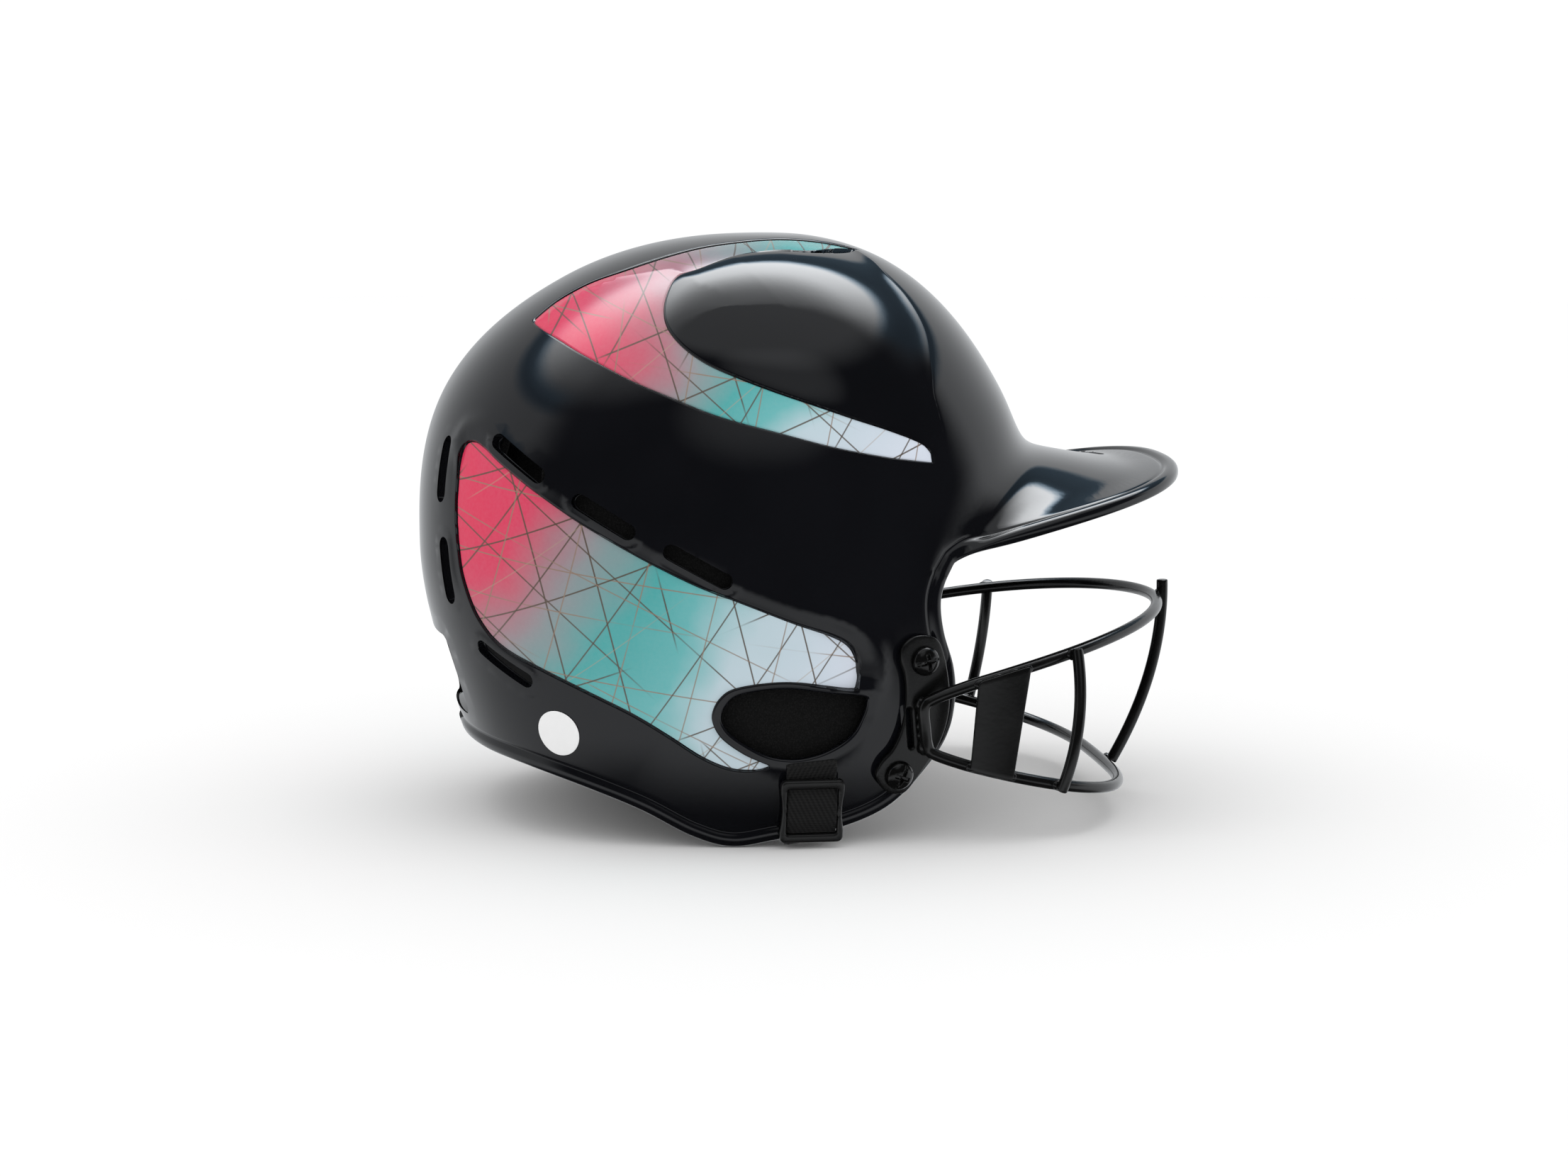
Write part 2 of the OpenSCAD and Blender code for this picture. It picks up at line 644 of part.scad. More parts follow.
module guard_hoop() {
    ref = [for (p = hoop_loop) [p.x - hoop_middle, p.y, 0]];
    rings = tube_rings(hoop_loop, ref, wire_r, true);
    color([0.05, 0.05, 0.055])
        polyhedron(points = flat(rings), faces = grid_faces(len(rings), tube_sides, true, true), convexity = 8);
}

weld_step = wire_d + weld_gap;
module wire_bar(p, ref) {
    rings = tube_rings(p, [for (q = p) ref], wire_r, false);
    capped(rings, p[0], p[len(p) - 1]);
}
bar_steps = 8;
// the bar lies outside both hoops and bows out between them; the outs are its directions from them
module guard_bar(top, low, out_a, out_b, stub, foot, bow) {
    out = unit(out_a + out_b);
    span = norm(top - low);
    whole = span + stub + foot;
    share_a = stub / whole;
    share_b = 1 - foot / whole;
    function rise(k) = 4 * bow * k * (1 - k);
    // a bar that leans keeps its distance from the wire
    function step(k) =
        let(lean = (low - top) * out / span + 4 * bow * (1 - 2 * k) / whole)
        weld_step * sqrt(1 + lean * lean);
    a = top + step(share_a) * out_a - rise(share_a) * out;
    b = low + step(share_b) * out_b - rise(share_b) * out;
    axis = unit(b - a);
    start = a - stub * axis;
    end = b + foot * axis;
    wire_bar([for (i = [0:bar_steps]) lerp(start, end, i / bar_steps) + rise(i / bar_steps) * out], out);
}

module centre_bar() {
    color([0.05, 0.05, 0.055])
        guard_bar(top_hoop(1), low_hoop(1), [1, 0, 0], [1, 0, 0], centre_stub, wire_r / 2, bar_bow);
}
module side_bar() {
    guard_bar(
        top_hoop(bar_place_top), low_hoop(bar_place_low), top_out(bar_place_top), low_out(bar_place_low),
        bar_stub, bar_stub, bar_bow);
}
module side_bar_right() {
    color([0.05, 0.05, 0.055]) side_bar();
}
module side_bar_left() {
    color([0.05, 0.05, 0.055]) mirror([0, 1, 0]) side_bar();
}

// flat plate welded over the outside of both hoops
plate_over = 1.5;
module side_plate() {
    steps = 4;
    function edge(t, k, lift) =
        let(a = top_hoop(t), b = low_hoop(t), d = unit(a - b))
        lerp(a + plate_over * d, b - plate_over * d, k)
        + (wire_r + weld_gap + lift) * unit(lerp(top_out(t), low_out(t), k));
    function layer(lift) = [
        for (k = [0:steps]) [
            for (i = [steps:-1:0]) edge(lerp(plate_start, plate_end, i / steps), k / steps, lift)]];
    slab(layer(side_plate_thick), layer(0));
}
module side_plate_right() {
    color([0.06, 0.06, 0.06]) side_plate();
}
module side_plate_left() {
    color([0.06, 0.06, 0.06]) mirror([0, 1, 0]) side_plate();
}

mount_steps = 14;
mount_across = 4;
function mount_layer(lift) = [
    for (i = [0:mount_steps])
        let(a = curve(mount_front, i / mount_steps), b = curve(mount_rear, i / mount_steps))
        [for (j = [0:mount_across]) raised(by_side(on_flap(lerp(a, b, j / mount_across))), lift)]
];
module mount_plate() {
    difference() {
        slab(mount_layer(mount_top), mount_layer(mount_lift));
        screw_cut(screw_hole, 24);
    }
}
module mount_plate_right() {
    color([0.06, 0.06, 0.06]) mount_plate();
}
module mount_plate_left() {
    color([0.06, 0.06, 0.06]) mirror([0, 1, 0]) mount_plate();
}

module spacers() {
    for (k = [0, 1])
        seated(screw_base(k), screw_axis(k))
            translate([0, 0, seat_gap + crown_room / 2])
                difference() {
                    cylinder(d = spacer_d, h = mount_lift - 2 * seat_gap - crown_room, $fn = 32);
                    translate([0, 0, -1]) cylinder(d = screw_hole, h = mount_lift + 2, $fn = 32);
                }
}
module spacers_right() {
    color([0.1, 0.1, 0.1]) spacers();
}
module spacers_left() {
    color([0.1, 0.1, 0.1]) mirror([0, 1, 0]) spacers();
}

head_low = mount_top + seat_gap + crown_room;
shank_low = -shell_wall - nut_h - seat_gap - nut_room;
head_round = (pow(head_d / 2, 2) + pow(head_h, 2)) / (2 * head_h);
module screws() {
    for (k = [0, 1])
        seated(screw_base(k), screw_axis(k), [1, 0, 0]) {
            translate([0, 0, shank_low]) cylinder(d = screw_d, h = head_low - shank_low, $fn = 32);
            translate([0, 0, head_low])
                difference() {
                    intersection() {
                        translate([0, 0, head_h - head_round]) sphere(r = head_round, $fn = 48);
                        cylinder(d = head_d, h = head_h, $fn = 48);
                    }
                    rotate([0, 0, screw_turn[k]])
                        for (s = [[head_d + 1, slot_w], [slot_w, head_d / 2]])
                            translate([0, 0, head_h]) cube([s.x, s.y, 2 * slot_deep], center = true);
                }
        }
}
module screws_right() {
    color([0.08, 0.08, 0.08]) screws();
}
module screws_left() {
    color([0.08, 0.08, 0.08]) mirror([0, 1, 0]) screws();
}

nut_top = -shell_wall - seat_gap - nut_room;
nut_bore = screw_d + 0.2;
module nuts() {
    for (k = [0, 1])
        seated(screw_base(k), screw_axis(k))
            translate([0, 0, nut_top - nut_h])
                difference() {
                    union() {
                        cylinder(d = nut_d * 0.8, h = nut_h, $fn = 6);
                        translate([0, 0, nut_h - 1.2]) cylinder(d = nut_d, h = 1.2, $fn = 32);
                    }
                    translate([0, 0, -1]) cylinder(d = nut_bore, h = nut_h + 2, $fn = 32);
                }
}
module nuts_right() {
    color([0.6, 0.6, 0.6]) nuts();
}
module nuts_left() {
    color([0.6, 0.6, 0.6]) mirror([0, 1, 0]) nuts();
}

// crowned pad inside the shell between two bearings and two height angles
pad_rows = 6;
pad_cols = 10;
module pad(az, el, gap) {
    function drawn(s, t) = (2 * s - 1) * (1 - pad_draw * (1 - pow(2 * t - 1, 2)));
    function spot(s, t) =
        by_bearing(lerp(az.x, az.y, 0.5 + drawn(s, t) / 2), lerp(el.x, el.y, 0.5 + drawn(t, s) / 2));
    function crown(s, t) = pow((1 - pow(2 * s - 1, 4)) * (1 - pow(2 * t - 1, 4)), 0.6);
    function layer(inner) = [
        for (i = [0:pad_rows]) [
            for (j = [0:pad_cols])
                let(s = j / pad_cols, t = 1 - i / pad_rows)
                raised(spot(s, t), -shell_wall - gap - inner * lerp(pad_edge, pad_thick, crown(s, t)))]];
    slab(layer(0), layer(1));
}
// the crown pad spans these angles either way, forwards and across
crown_pad_turn = 30;
crown_pad_roll = 32;
module crown_pad() {
    function draw(s) = 1 - pad_draw * (1 - pow(2 * s - 1, 2));
    function spot(s, t) =
        by_roll([lerp(-crown_pad_turn, crown_pad_turn, 0.5 + (t - 0.5) * draw(s)), lerp(crown_pad_roll, -crown_pad_roll, s)]);
    function crown(s, t) = pow((1 - pow(2 * s - 1, 4)) * (1 - pow(2 * t - 1, 4)), 0.6);
    function layer(inner) = [
        for (i = [0:pad_rows]) [
            for (j = [0:pad_cols])
                let(s = j / pad_cols, t = 1 - i / pad_rows)
                raised(spot(s, t), -shell_wall - pad_gap - inner * lerp(pad_edge, pad_thick, crown(s, t)))]];
    color([0.12, 0.12, 0.12]) slab(layer(0), layer(1));
}
front_pad_az = [-40, 40];
front_pad_el = [24, 47];
rear_pad_az = [143, 217];
rear_pad_el = [-8, 30];
side_pad_az = [62, 136];
side_pad_el = [-6, 34];
jaw_pad_az = [66, 120];
jaw_pad_el = [-38, -10];
jaw_gap = strap_gap + strap_thick + jaw_clear;
module front_pad() {
    color([0.12, 0.12, 0.12]) pad(front_pad_az, front_pad_el, pad_gap);
}
module rear_pad() {
    color([0.12, 0.12, 0.12]) pad(rear_pad_az, rear_pad_el, pad_gap);
}
module side_pad_right() {
    color([0.12, 0.12, 0.12]) pad(side_pad_az, side_pad_el, pad_gap);
}
module side_pad_left() {
    color([0.12, 0.12, 0.12]) mirror([0, 1, 0]) pad(side_pad_az, side_pad_el, pad_gap);
}
module jaw_pad_right() {
    color([0.14, 0.14, 0.14]) pad(jaw_pad_az, jaw_pad_el, jaw_gap);
}
module jaw_pad_left() {
    color([0.14, 0.14, 0.14]) mirror([0, 1, 0]) pad(jaw_pad_az, jaw_pad_el, jaw_gap);
}

// lower edge of the ear hole in side view at one place along X
function arc_low(at, r, x) = abs(x - at.x) < r ? at.y - sqrt(r * r - pow(x - at.x, 2)) : at.y;
function hole_low(x) =
    min(arc_low(on_flap(ear_low_at), ear_low_r, x), arc_low(on_flap(ear_front_at), ear_front_r, x));

// band round the shell between ear hole and rim, at clearance c; x runs across the webbing
function band(x, c) =
    let(top = hole_low(x), low = rim_height(x), w = shell_wall, b = bead_height, e = rim_edge)
    let(k = 0.7 * c)
    let(section = [
        [c, top], [c, lerp(top, low, 0.25)], [c, lerp(top, low, 0.5)], [c, low + bead_width + 4],
        [b + c, low + bead_width], [b + c, low + 0.6], [b + k, low - e - k], [(b - w) / 2, low - e - c],
        [-w - k, low - e - k], [-w - c, low + 0.6], [-w - c, lerp(top, low, 0.7)],
        [-w - c, lerp(top, low, 0.35)], [-w - c, top], [-w - k, top + k], [-w / 2, top + c], [k, top + k]])
    [for (s = section) raised(by_side([x, s.y]), s.x)];
strap_across = 4;
module strap_loop() {
    xs = [for (j = [0:strap_across]) strap_x + strap_width * (0.5 - j / strap_across)];
    outer = [for (x = xs) band(x, strap_gap + strap_thick)];
    inner = [for (x = xs) band(x, strap_gap)];
    n = len(outer[0]);
    m = len(xs);
    points = concat(
        [for (i = [0:n - 1]) each [for (j = [0:m - 1]) outer[j][i]]],
        [for (i = [0:n - 1]) each [for (j = [0:m - 1]) inner[j][i]]]);
    skin = grid_faces(n, m, true, false);
    polyhedron(
        points = points,
        faces = concat(
            skin,
            [for (f = skin) [f[0] + n * m, f[2] + n * m, f[1] + n * m]],
            [for (i = [0:n - 1]) let(a = i * m, b = ((i + 1) % n) * m)
                each [[b, a, a + n * m], [b, a + n * m, b + n * m]]],
            [for (i = [0:n - 1]) let(a = i * m + m - 1, b = ((i + 1) % n) * m + m - 1)
                each [[a, b, b + n * m], [a, b + n * m, a + n * m]]]),
        convexity = 6);
}
module strap_loop_right() {
    color([0.1, 0.1, 0.1]) strap_loop();
}
module strap_loop_left() {
    color([0.1, 0.1, 0.1]) mirror([0, 1, 0]) strap_loop();
}

// the slider lies on the webbing; its long way runs up the shell
strap_top = strap_gap + strap_thick;
slider_low_z = rim_height(strap_x) + slider_middle - rim_edge;
slider_foot = raised(by_side([strap_x, slider_low_z]), strap_top + bead_height + slider_gap);
slider_head = raised(by_side([strap_x, slider_low_z + slider_l * 0.72]), strap_top + slider_gap + 0.2);
slider_up = unit(slider_head - slider_foot);
slider_out = unit(cross([1, 0, 0], slider_up));
slider_at = slider_foot + slider_up * (slider_l / 2 - slider_middle);
module slider_frame() {
    w = slider_w / 2;
    l = slider_l / 2;
    r = 2.5;
    difference() {
        linear_extrude(slider_thick)
            difference() {
                hull()
                    for (s = [-1, 1], t = [-1, 1])
                        translate([s * (w - r), t * (l - r)]) circle(r = r, $fn = 24);
                for (s = [-1, 1])
                    translate([s * (w - slider_waist + l), 0])
                        scale([1, 0.62]) circle(r = l, $fn = 48);
                for (t = [-1, 1])
                    translate([0, t * (l / 2 - slider_bar / 4)])
                        square([2 * (w - slider_side), l - slider_bar * 1.5], center = true);
            }
        translate([0, 0, slider_thick * 0.7])
            linear_extrude(slider_thick)
                square([2 * (w - slider_side), slider_bar + 0.2], center = true);
    }
}
module slider_place() {
    seated(slider_at, slider_out, [1, 0, 0]) children();
}
module slider_right() {
    color([0.09, 0.09, 0.09]) slider_place() slider_frame();
}
module slider_left() {
    color([0.09, 0.09, 0.09]) mirror([0, 1, 0]) slider_place() slider_frame();
}

// end of the webbing folded over the slider's middle bar
end_low = slider_thick * 0.7 + 0.1;
module strap_end() {
    w = strap_width - 0.4;
    l = slider_l / 2 - slider_bar - 0.5;
    slider_place()
        translate([-w / 2, 0, 0])
            rotate([90, 0, 90])
                linear_extrude(w)
                    polygon(concat(
                        [for (i = [-8:8]) [l * i / 8, max(0.2, end_low * min(1, 1.7 * (1 - abs(i) / 8)))]],
                        [for (i = [8:-1:-8])
                            [l * i / 8, strap_thick + max(0.2, end_low * min(1, 1.7 * (1 - abs(i) / 8)))]]));
}
module strap_end_right() {
    color([0.1, 0.1, 0.1]) strap_end();
}
module strap_end_left() {
    color([0.1, 0.1, 0.1]) mirror([0, 1, 0]) strap_end();
}

// slack strap across the opening, standing on its edge and sagging backwards
strap_floor = 1;
chin_inside = shell_wall + strap_gap + strap_thick + hinge_gap;
chin_start = raised(by_side([strap_x, rim_height(strap_x) - rim_edge]), -chin_inside);
chin_steps = 28;
module chin_strap() {
    half = -chin_start.y;
    function place(t) =
        let(y = -half * cos(180 * t))
        [chin_start.x - strap_sag * pow(cos(90 * y / half), 2), y, 0];
    function twist(t) = 90 * clamp(min(t, 1 - t) / 0.3);
    rings = [
        for (i = [0:chin_steps])
            let(t = i / chin_steps)
            let(ahead = i % chin_steps == 0 ? [0, 1, 0] : unit(place(t + 0.01) - place(t - 0.01)))
            let(side = cross(ahead, [0, 0, 1]))
            let(wide = cos(twist(t)) * side + sin(twist(t)) * [0, 0, 1])
            let(thin = cross(ahead, wide))
            let(lift = strap_floor + abs(wide.z) * strap_width / 2 + abs(thin.z) * strap_thick / 2)
            let(p = place(t) + [0, 0, lift])
            [for (c = [[1, -1], [1, 1], [-1, 1], [-1, -1]])
                p + c.x * strap_width / 2 * wide + c.y * strap_thick / 2 * thin]
    ];
    last = len(rings) - 1;
    color([0.1, 0.1, 0.1])
        capped(rings,
            (rings[0][0] + rings[0][1] + rings[0][2] + rings[0][3]) / 4,
            (rings[last][0] + rings[last][1] + rings[last][2] + rings[last][3]) / 4);
}

shell();
crown_panel_right();
crown_panel_left();
side_panel_right();
side_panel_left();
round_label();
guard_hoop();
centre_bar();
side_bar_right();
side_bar_left();
side_plate_right();
side_plate_left();
mount_plate_right();
mount_plate_left();
spacers_right();
spacers_left();
screws_right();
screws_left();
nuts_right();
nuts_left();
crown_pad();
front_pad();
rear_pad();
side_pad_right();
side_pad_left();
jaw_pad_right();
jaw_pad_left();
strap_loop_right();
strap_loop_left();
chin_strap();
slider_right();
slider_left();
strap_end_right();
strap_end_left();
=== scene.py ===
import math

import bpy
import mathutils
import numpy as np
from mathutils import Matrix, Vector


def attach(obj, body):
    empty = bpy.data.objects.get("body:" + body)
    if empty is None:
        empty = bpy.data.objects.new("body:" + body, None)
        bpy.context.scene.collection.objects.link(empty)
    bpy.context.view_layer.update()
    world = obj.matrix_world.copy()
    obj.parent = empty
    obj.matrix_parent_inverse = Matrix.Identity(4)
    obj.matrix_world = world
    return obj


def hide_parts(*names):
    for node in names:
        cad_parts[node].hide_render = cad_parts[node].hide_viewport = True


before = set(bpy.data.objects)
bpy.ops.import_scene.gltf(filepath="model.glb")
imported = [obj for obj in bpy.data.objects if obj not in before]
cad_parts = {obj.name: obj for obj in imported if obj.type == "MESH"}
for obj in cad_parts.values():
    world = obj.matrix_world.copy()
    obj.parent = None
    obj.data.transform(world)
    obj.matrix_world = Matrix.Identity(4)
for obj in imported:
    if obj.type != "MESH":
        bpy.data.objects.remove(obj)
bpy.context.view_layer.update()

MM = 0.001


# Shader nodes: sums are written as expressions, and every other node comes from put()
class Tone:
    """A socket of one finish. Sums, products and powers of it add Math nodes."""

    def __init__(self, finish, socket):
        self.finish, self.socket = finish, socket

    def sum(self, kind, *parts):
        return self.finish.put("ShaderNodeMath", {"operation": kind}, *parts)

    def __add__(self, other):
        return self.sum("ADD", self, other)

    def __radd__(self, other):
        return self.sum("ADD", other, self)

    def __sub__(self, other):
        return self.sum("SUBTRACT", self, other)

    def __rsub__(self, other):
        return self.sum("SUBTRACT", other, self)

    def __mul__(self, other):
        return self.sum("MULTIPLY", self, other)

    def __rmul__(self, other):
        return self.sum("MULTIPLY", other, self)

    def __truediv__(self, other):
        return self.sum("DIVIDE", self, other)

    def __pow__(self, other):
        return self.sum("POWER", self, other)

    def over(self, low, high):
        """0 below low, 1 above high and smooth between."""
        settings = {"interpolation_type": "SMOOTHSTEP"}
        return self.finish.put("ShaderNodeMapRange", settings, self, low, high, 0.0, 1.0)


class Finish:
    """One material built round its Principled shader, or the room's light round its Background."""

    def __init__(self, name, room=None, **fixed):
        self.material = room or bpy.data.materials.new(name)
        self.material.use_nodes = True
        self.nodes = self.material.node_tree.nodes
        self.links = self.material.node_tree.links
        self.shader = next(n for n in self.nodes if n.type in ("BSDF_PRINCIPLED", "BACKGROUND"))
        for socket, value in fixed.items():
            self.shader.inputs[socket.replace("_", " ")].default_value = value

    def put(self, kind, settings, *values, out=0, **named):
        """A node with its settings; values go to its sockets in order or by name, None leaves one as it is."""
        node = self.nodes.new(kind)
        for key, value in settings.items():
            setattr(node, key, value)
        for key, value in [*enumerate(values), *named.items()]:
            socket = node.inputs[key.replace("_", " ") if isinstance(key, str) else key]
            if isinstance(value, Tone):
                self.links.new(value.socket, socket)
            elif value is not None:
                socket.default_value = value
        return Tone(self, node.outputs[out])

    def place(self):
        return self.put("ShaderNodeTexCoord", {}, out="Object")

    def noise(self, scale, detail=2.0, at=None, rough=0.5):
        return self.put("ShaderNodeTexNoise", {}, at or self.place(), None, scale, detail, rough)

    def mix(self, share, a, b):
        between = [None] * 5
        return self.put("ShaderNodeMix", {"data_type": "RGBA"}, share, *between, a, b, out=2)

    def ramp(self, value, stops):
        tone = self.put("ShaderNodeValToRGB", {}, value)
        elements = tone.socket.node.color_ramp.elements
        while len(elements) < len(stops):
            elements.new(0.5)
        for element, (place, colour) in zip(elements, stops):
            element.position, element.color = place, colour
        return tone

    def part(self, vector, axis):
        return self.put("ShaderNodeSeparateXYZ", {}, vector, out=axis)

    def along(self, vector, way):
        """How far a place lies along a direction."""
        return self.put("ShaderNodeVectorMath", {"operation": "DOT_PRODUCT"}, vector, way, out="Value")

    def bump(self, height, depth, strength):
        return self.put("ShaderNodeBump", {}, Strength=strength, Distance=depth, Height=height)

    def feed(self, **links):
        for socket, tone in links.items():
            self.links.new(tone.socket, self.shader.inputs[socket.replace("_", " ")])
        return self


def grey(v):
    return (v, v, v, 1.0)


# Finishes
def gloss_black():
    f = Finish("shell_gloss", Specular_IOR_Level=0.5, IOR=1.5)
    broad, swirl = f.noise(14.0, 3.0), f.noise(55.0, 4.0, rough=0.6)
    dust = f.noise(900.0, 1.0).over(0.72, 0.8)
    rub = f.noise(130.0, 5.0, rough=0.7).over(0.6, 0.74)
    colour = f.mix(broad.over(0.3, 0.7), (0.0026, 0.0028, 0.0038, 1), (0.0040, 0.0042, 0.0056, 1))
    f.feed(Base_Color=f.mix(dust * 0.2, colour, grey(0.015)))
    f.feed(Roughness=0.02 + 0.03 * swirl + 0.04 * rub + 0.05 * dust)
    return f.feed(Normal=f.bump(f.noise(260.0, 2.0), 0.00003, 0.3))


def satin_black(name, rough, tint):
    f = Finish(name, Specular_IOR_Level=0.45)
    broad, grain = f.noise(40.0, 3.0), f.noise(1600.0, 2.0)
    worn = f.noise(120.0, 4.0).over(0.58, 0.75)
    f.feed(Base_Color=f.mix(worn * 0.5, grey(tint), grey(tint * 2.2)), Roughness=rough - 0.08 + 0.16 * broad)
    return f.feed(Normal=f.bump(grain, 0.00012, 0.35))


def dipped_black():
    f = Finish("guard_coating", Specular_IOR_Level=0.45)
    flow, peel = f.noise(45.0, 2.0), f.noise(520.0, 1.0)
    f.feed(Base_Color=f.mix(flow.over(0.35, 0.7), grey(0.0028), grey(0.0055)), Roughness=0.10 + 0.14 * flow)
    return f.feed(Normal=f.bump(peel, 0.00008, 0.3))


# The print runs from share 0 at the rear to share 1 at the front; places in metres
PRINT_REAR, PRINT_RUN, PRINT_LEAN, PRINT_LEVEL = -0.155, 0.180, 0.37, 0.105
REAR_LEAN, CROWN_HOLD, PRINT_CLOUD, PRINT_MOTTLE = 0.30, 0.09, 0.36, 0.10
PRINT_TONES = (
    (0.0, (0.66, 0.018, 0.078, 1)), (0.08, (0.62, 0.032, 0.095, 1)), (0.20, (0.39, 0.145, 0.185, 1)),
    (0.30, (0.235, 0.265, 0.28, 1)), (0.43, (0.055, 0.35, 0.345, 1)), (0.58, (0.115, 0.42, 0.425, 1)),
    (0.71, (0.47, 0.59, 0.645, 1)), (0.95, (0.63, 0.68, 0.77, 1)))
DARK, TAN, PALE = (0.070, 0.046, 0.028, 1), (0.24, 0.16, 0.11, 1), (0.36, 0.27, 0.19, 1)
PRINT_LINES = (  # tilt in degrees, spacing and width in mm, tone, strength, seed of the places where it fades
    (14, 23, 0.6, DARK, 0.9, 3.1), (47, 27, 0.56, DARK, 0.85, 7.7), (81, 25, 0.5, TAN, 0.8, 1.3),
    (112, 29, 0.6, DARK, 0.9, 5.2), (146, 25, 0.56, DARK, 0.85, 9.4), (166, 31, 0.5, TAN, 0.75, 2.6),
    (63, 38, 0.5, TAN, 0.7, 4.4), (128, 44, 0.45, PALE, 0.4, 6.3))


def printed_film():
    """Pink at the rear fading through teal to a pale front, crossed by straight hairlines."""
    f = Finish("panel_print", Specular_IOR_Level=0.5)
    at = f.place()
    cloud, mottle, speck = f.noise(13.0, 2.0), f.noise(42.0, 3.0), f.noise(700.0, 2.0)
    ahead, high = f.part(at, 0), f.part(at, 2) - PRINT_LEVEL
    rear = REAR_LEAN * (1 - ahead.over(-0.14, -0.06)) * (1 - high.over(0.0, 0.06))
    run = ahead - high * (PRINT_LEAN + rear)
    share = (run - PRINT_REAR) / PRINT_RUN - CROWN_HOLD * high.over(0.055, 0.085)
    share = share + PRINT_CLOUD * (cloud - 0.5) + PRINT_MOTTLE * (mottle - 0.5)
    colour = f.ramp(share, PRINT_TONES)
    cells = {"voronoi_dimensions": "1D", "feature": "DISTANCE_TO_EDGE"}
    for tilt, spacing, width, tone, strength, seed in PRINT_LINES:
        a = math.radians(tilt)
        across = f.along(at, (math.cos(a), 0, math.sin(a))) + seed
        edge = f.put("ShaderNodeTexVoronoi", cells, W=across, Scale=1 / (spacing * MM), Randomness=1.0)
        shift = f.put("ShaderNodeVectorMath", {"operation": "ADD"}, at, (seed, -seed, 2 * seed))
        fade = f.noise(15.0, 1.0, shift).over(0.33, 0.43)
        half = width / 2 / spacing
        line = 1 - edge.over(half * 0.55, half * 1.45)
        colour = f.mix(line * fade * strength, colour, tone)
    f.feed(Base_Color=f.mix(0.08 * speck, colour, grey(0.5)), Roughness=0.14 + 0.10 * mottle)
    return f.feed(Normal=f.bump(speck, 0.00003, 0.25))


RIB_TURN, PICK_TURN = 1.9, 1.1


def webbing():
    """Woven straps: the map runs in millimetres across and along the strap."""
    f = Finish("strap_webbing", Specular_IOR_Level=0.2, Sheen_Weight=0.06, Sheen_Roughness=0.4)
    at = f.put("ShaderNodeUVMap", {"uv_map": "Weave"})
    across, along = f.part(at, 0), f.part(at, 1)
    wave = lambda v, turn: f.put("ShaderNodeMath", {"operation": "SINE"}, v * (2 * math.pi / turn)) * 0.5 + 0.5
    rib, pick = wave(across + along * 0.5, RIB_TURN), wave(along, PICK_TURN)
    weave = 0.65 * rib + 0.35 * pick
    fuzz = f.noise(2600.0, 2.0)
    # The colour follows the weave's height, as the bump does: darker in the grooves between the ribs, a painted shade,
    # and lighter on the ribs.
    f.feed(Base_Color=f.mix(weave, grey(0.0049), grey(0.014)), Roughness=0.62 + 0.25 * fuzz)
    return f.feed(Normal=f.bump(weave + 0.25 * fuzz, 0.0003, 0.8))


def knit_fabric():
    f = Finish("pad_knit", Specular_IOR_Level=0.12, Sheen_Weight=0.06, Sheen_Roughness=0.4)
    loops = f.put("ShaderNodeTexVoronoi", {}, Vector=f.place(), Scale=1150.0, Randomness=0.8)
    nap, broad = f.noise(1500.0, 3.0), f.noise(30.0, 3.0)
    # shade is the knit's height, as the bump uses it: the colour is darker in the hollows between the loops and where
    # the nap is low, a painted shade, and lighter on the loops.
    shade = 0.6 * (1 - loops.over(0.1, 0.7)) + 0.4 * nap
    f.feed(Base_Color=f.mix(shade, grey(0.0034), grey(0.0102)), Roughness=0.78 + 0.18 * broad)
    return f.feed(Normal=f.bump(shade, 0.0004, 0.7))


def bright_steel():
    f = Finish("nut_steel", Metallic=1.0)
    brush, spot = f.noise(300.0, 3.0), f.noise(60.0, 4.0).over(0.55, 0.75)
    f.feed(Base_Color=f.mix(spot, grey(0.45), grey(0.27)), Roughness=0.3 + 0.15 * brush)
    return f.feed(Normal=f.bump(brush, 0.00005, 0.3))


def blank_paper():
    f = Finish("label_film", Specular_IOR_Level=0.4)
    fibre, stain = f.noise(700.0, 3.0), f.noise(60.0, 3.0)
    f.feed(Base_Color=f.mix(stain, grey(0.80), grey(0.90)), Roughness=0.35 + 0.2 * fibre)
    return f.feed(Normal=f.bump(fibre, 0.00003, 0.3))


def pale_floor():
    f = Finish("floor_paper", Specular_IOR_Level=0.0)
    tint = f.mix(f.noise(3.0, 1.0), grey(0.84), grey(0.86))
    return f.feed(Base_Color=tint, Roughness=0.9 + 0.05 * f.noise(9.0, 1.0))


def tent_cloth():
    """The light tent round it all: an even white glow, strongest from above."""
    f = Finish("tent_cloth", Specular_IOR_Level=0.0, Base_Color=(0, 0, 0, 1), Emission_Strength=1.0)
    f.material.cycles.emission_sampling = "NONE"
    return f.feed(Emission_Color=f.mix(f.part(f.place(), 2).over(0.8, 4.0), grey(1.02), grey(1.3)))


SHELL, INSIDE = gloss_black(), satin_black("shell_inside", 0.55, 0.012)
PANEL, GUARD, PLATE = printed_film(), dipped_black(), satin_black("mount_satin", 0.26, 0.0028)
SCREW, NUT = satin_black("screw_black", 0.09, 0.0025), bright_steel()
SPACER, PAD, LABEL = satin_black("spacer_rubber", 0.6, 0.02), knit_fabric(), blank_paper()
STRAP, BUCKLE = webbing(), satin_black("buckle_satin", 0.28, 0.006)


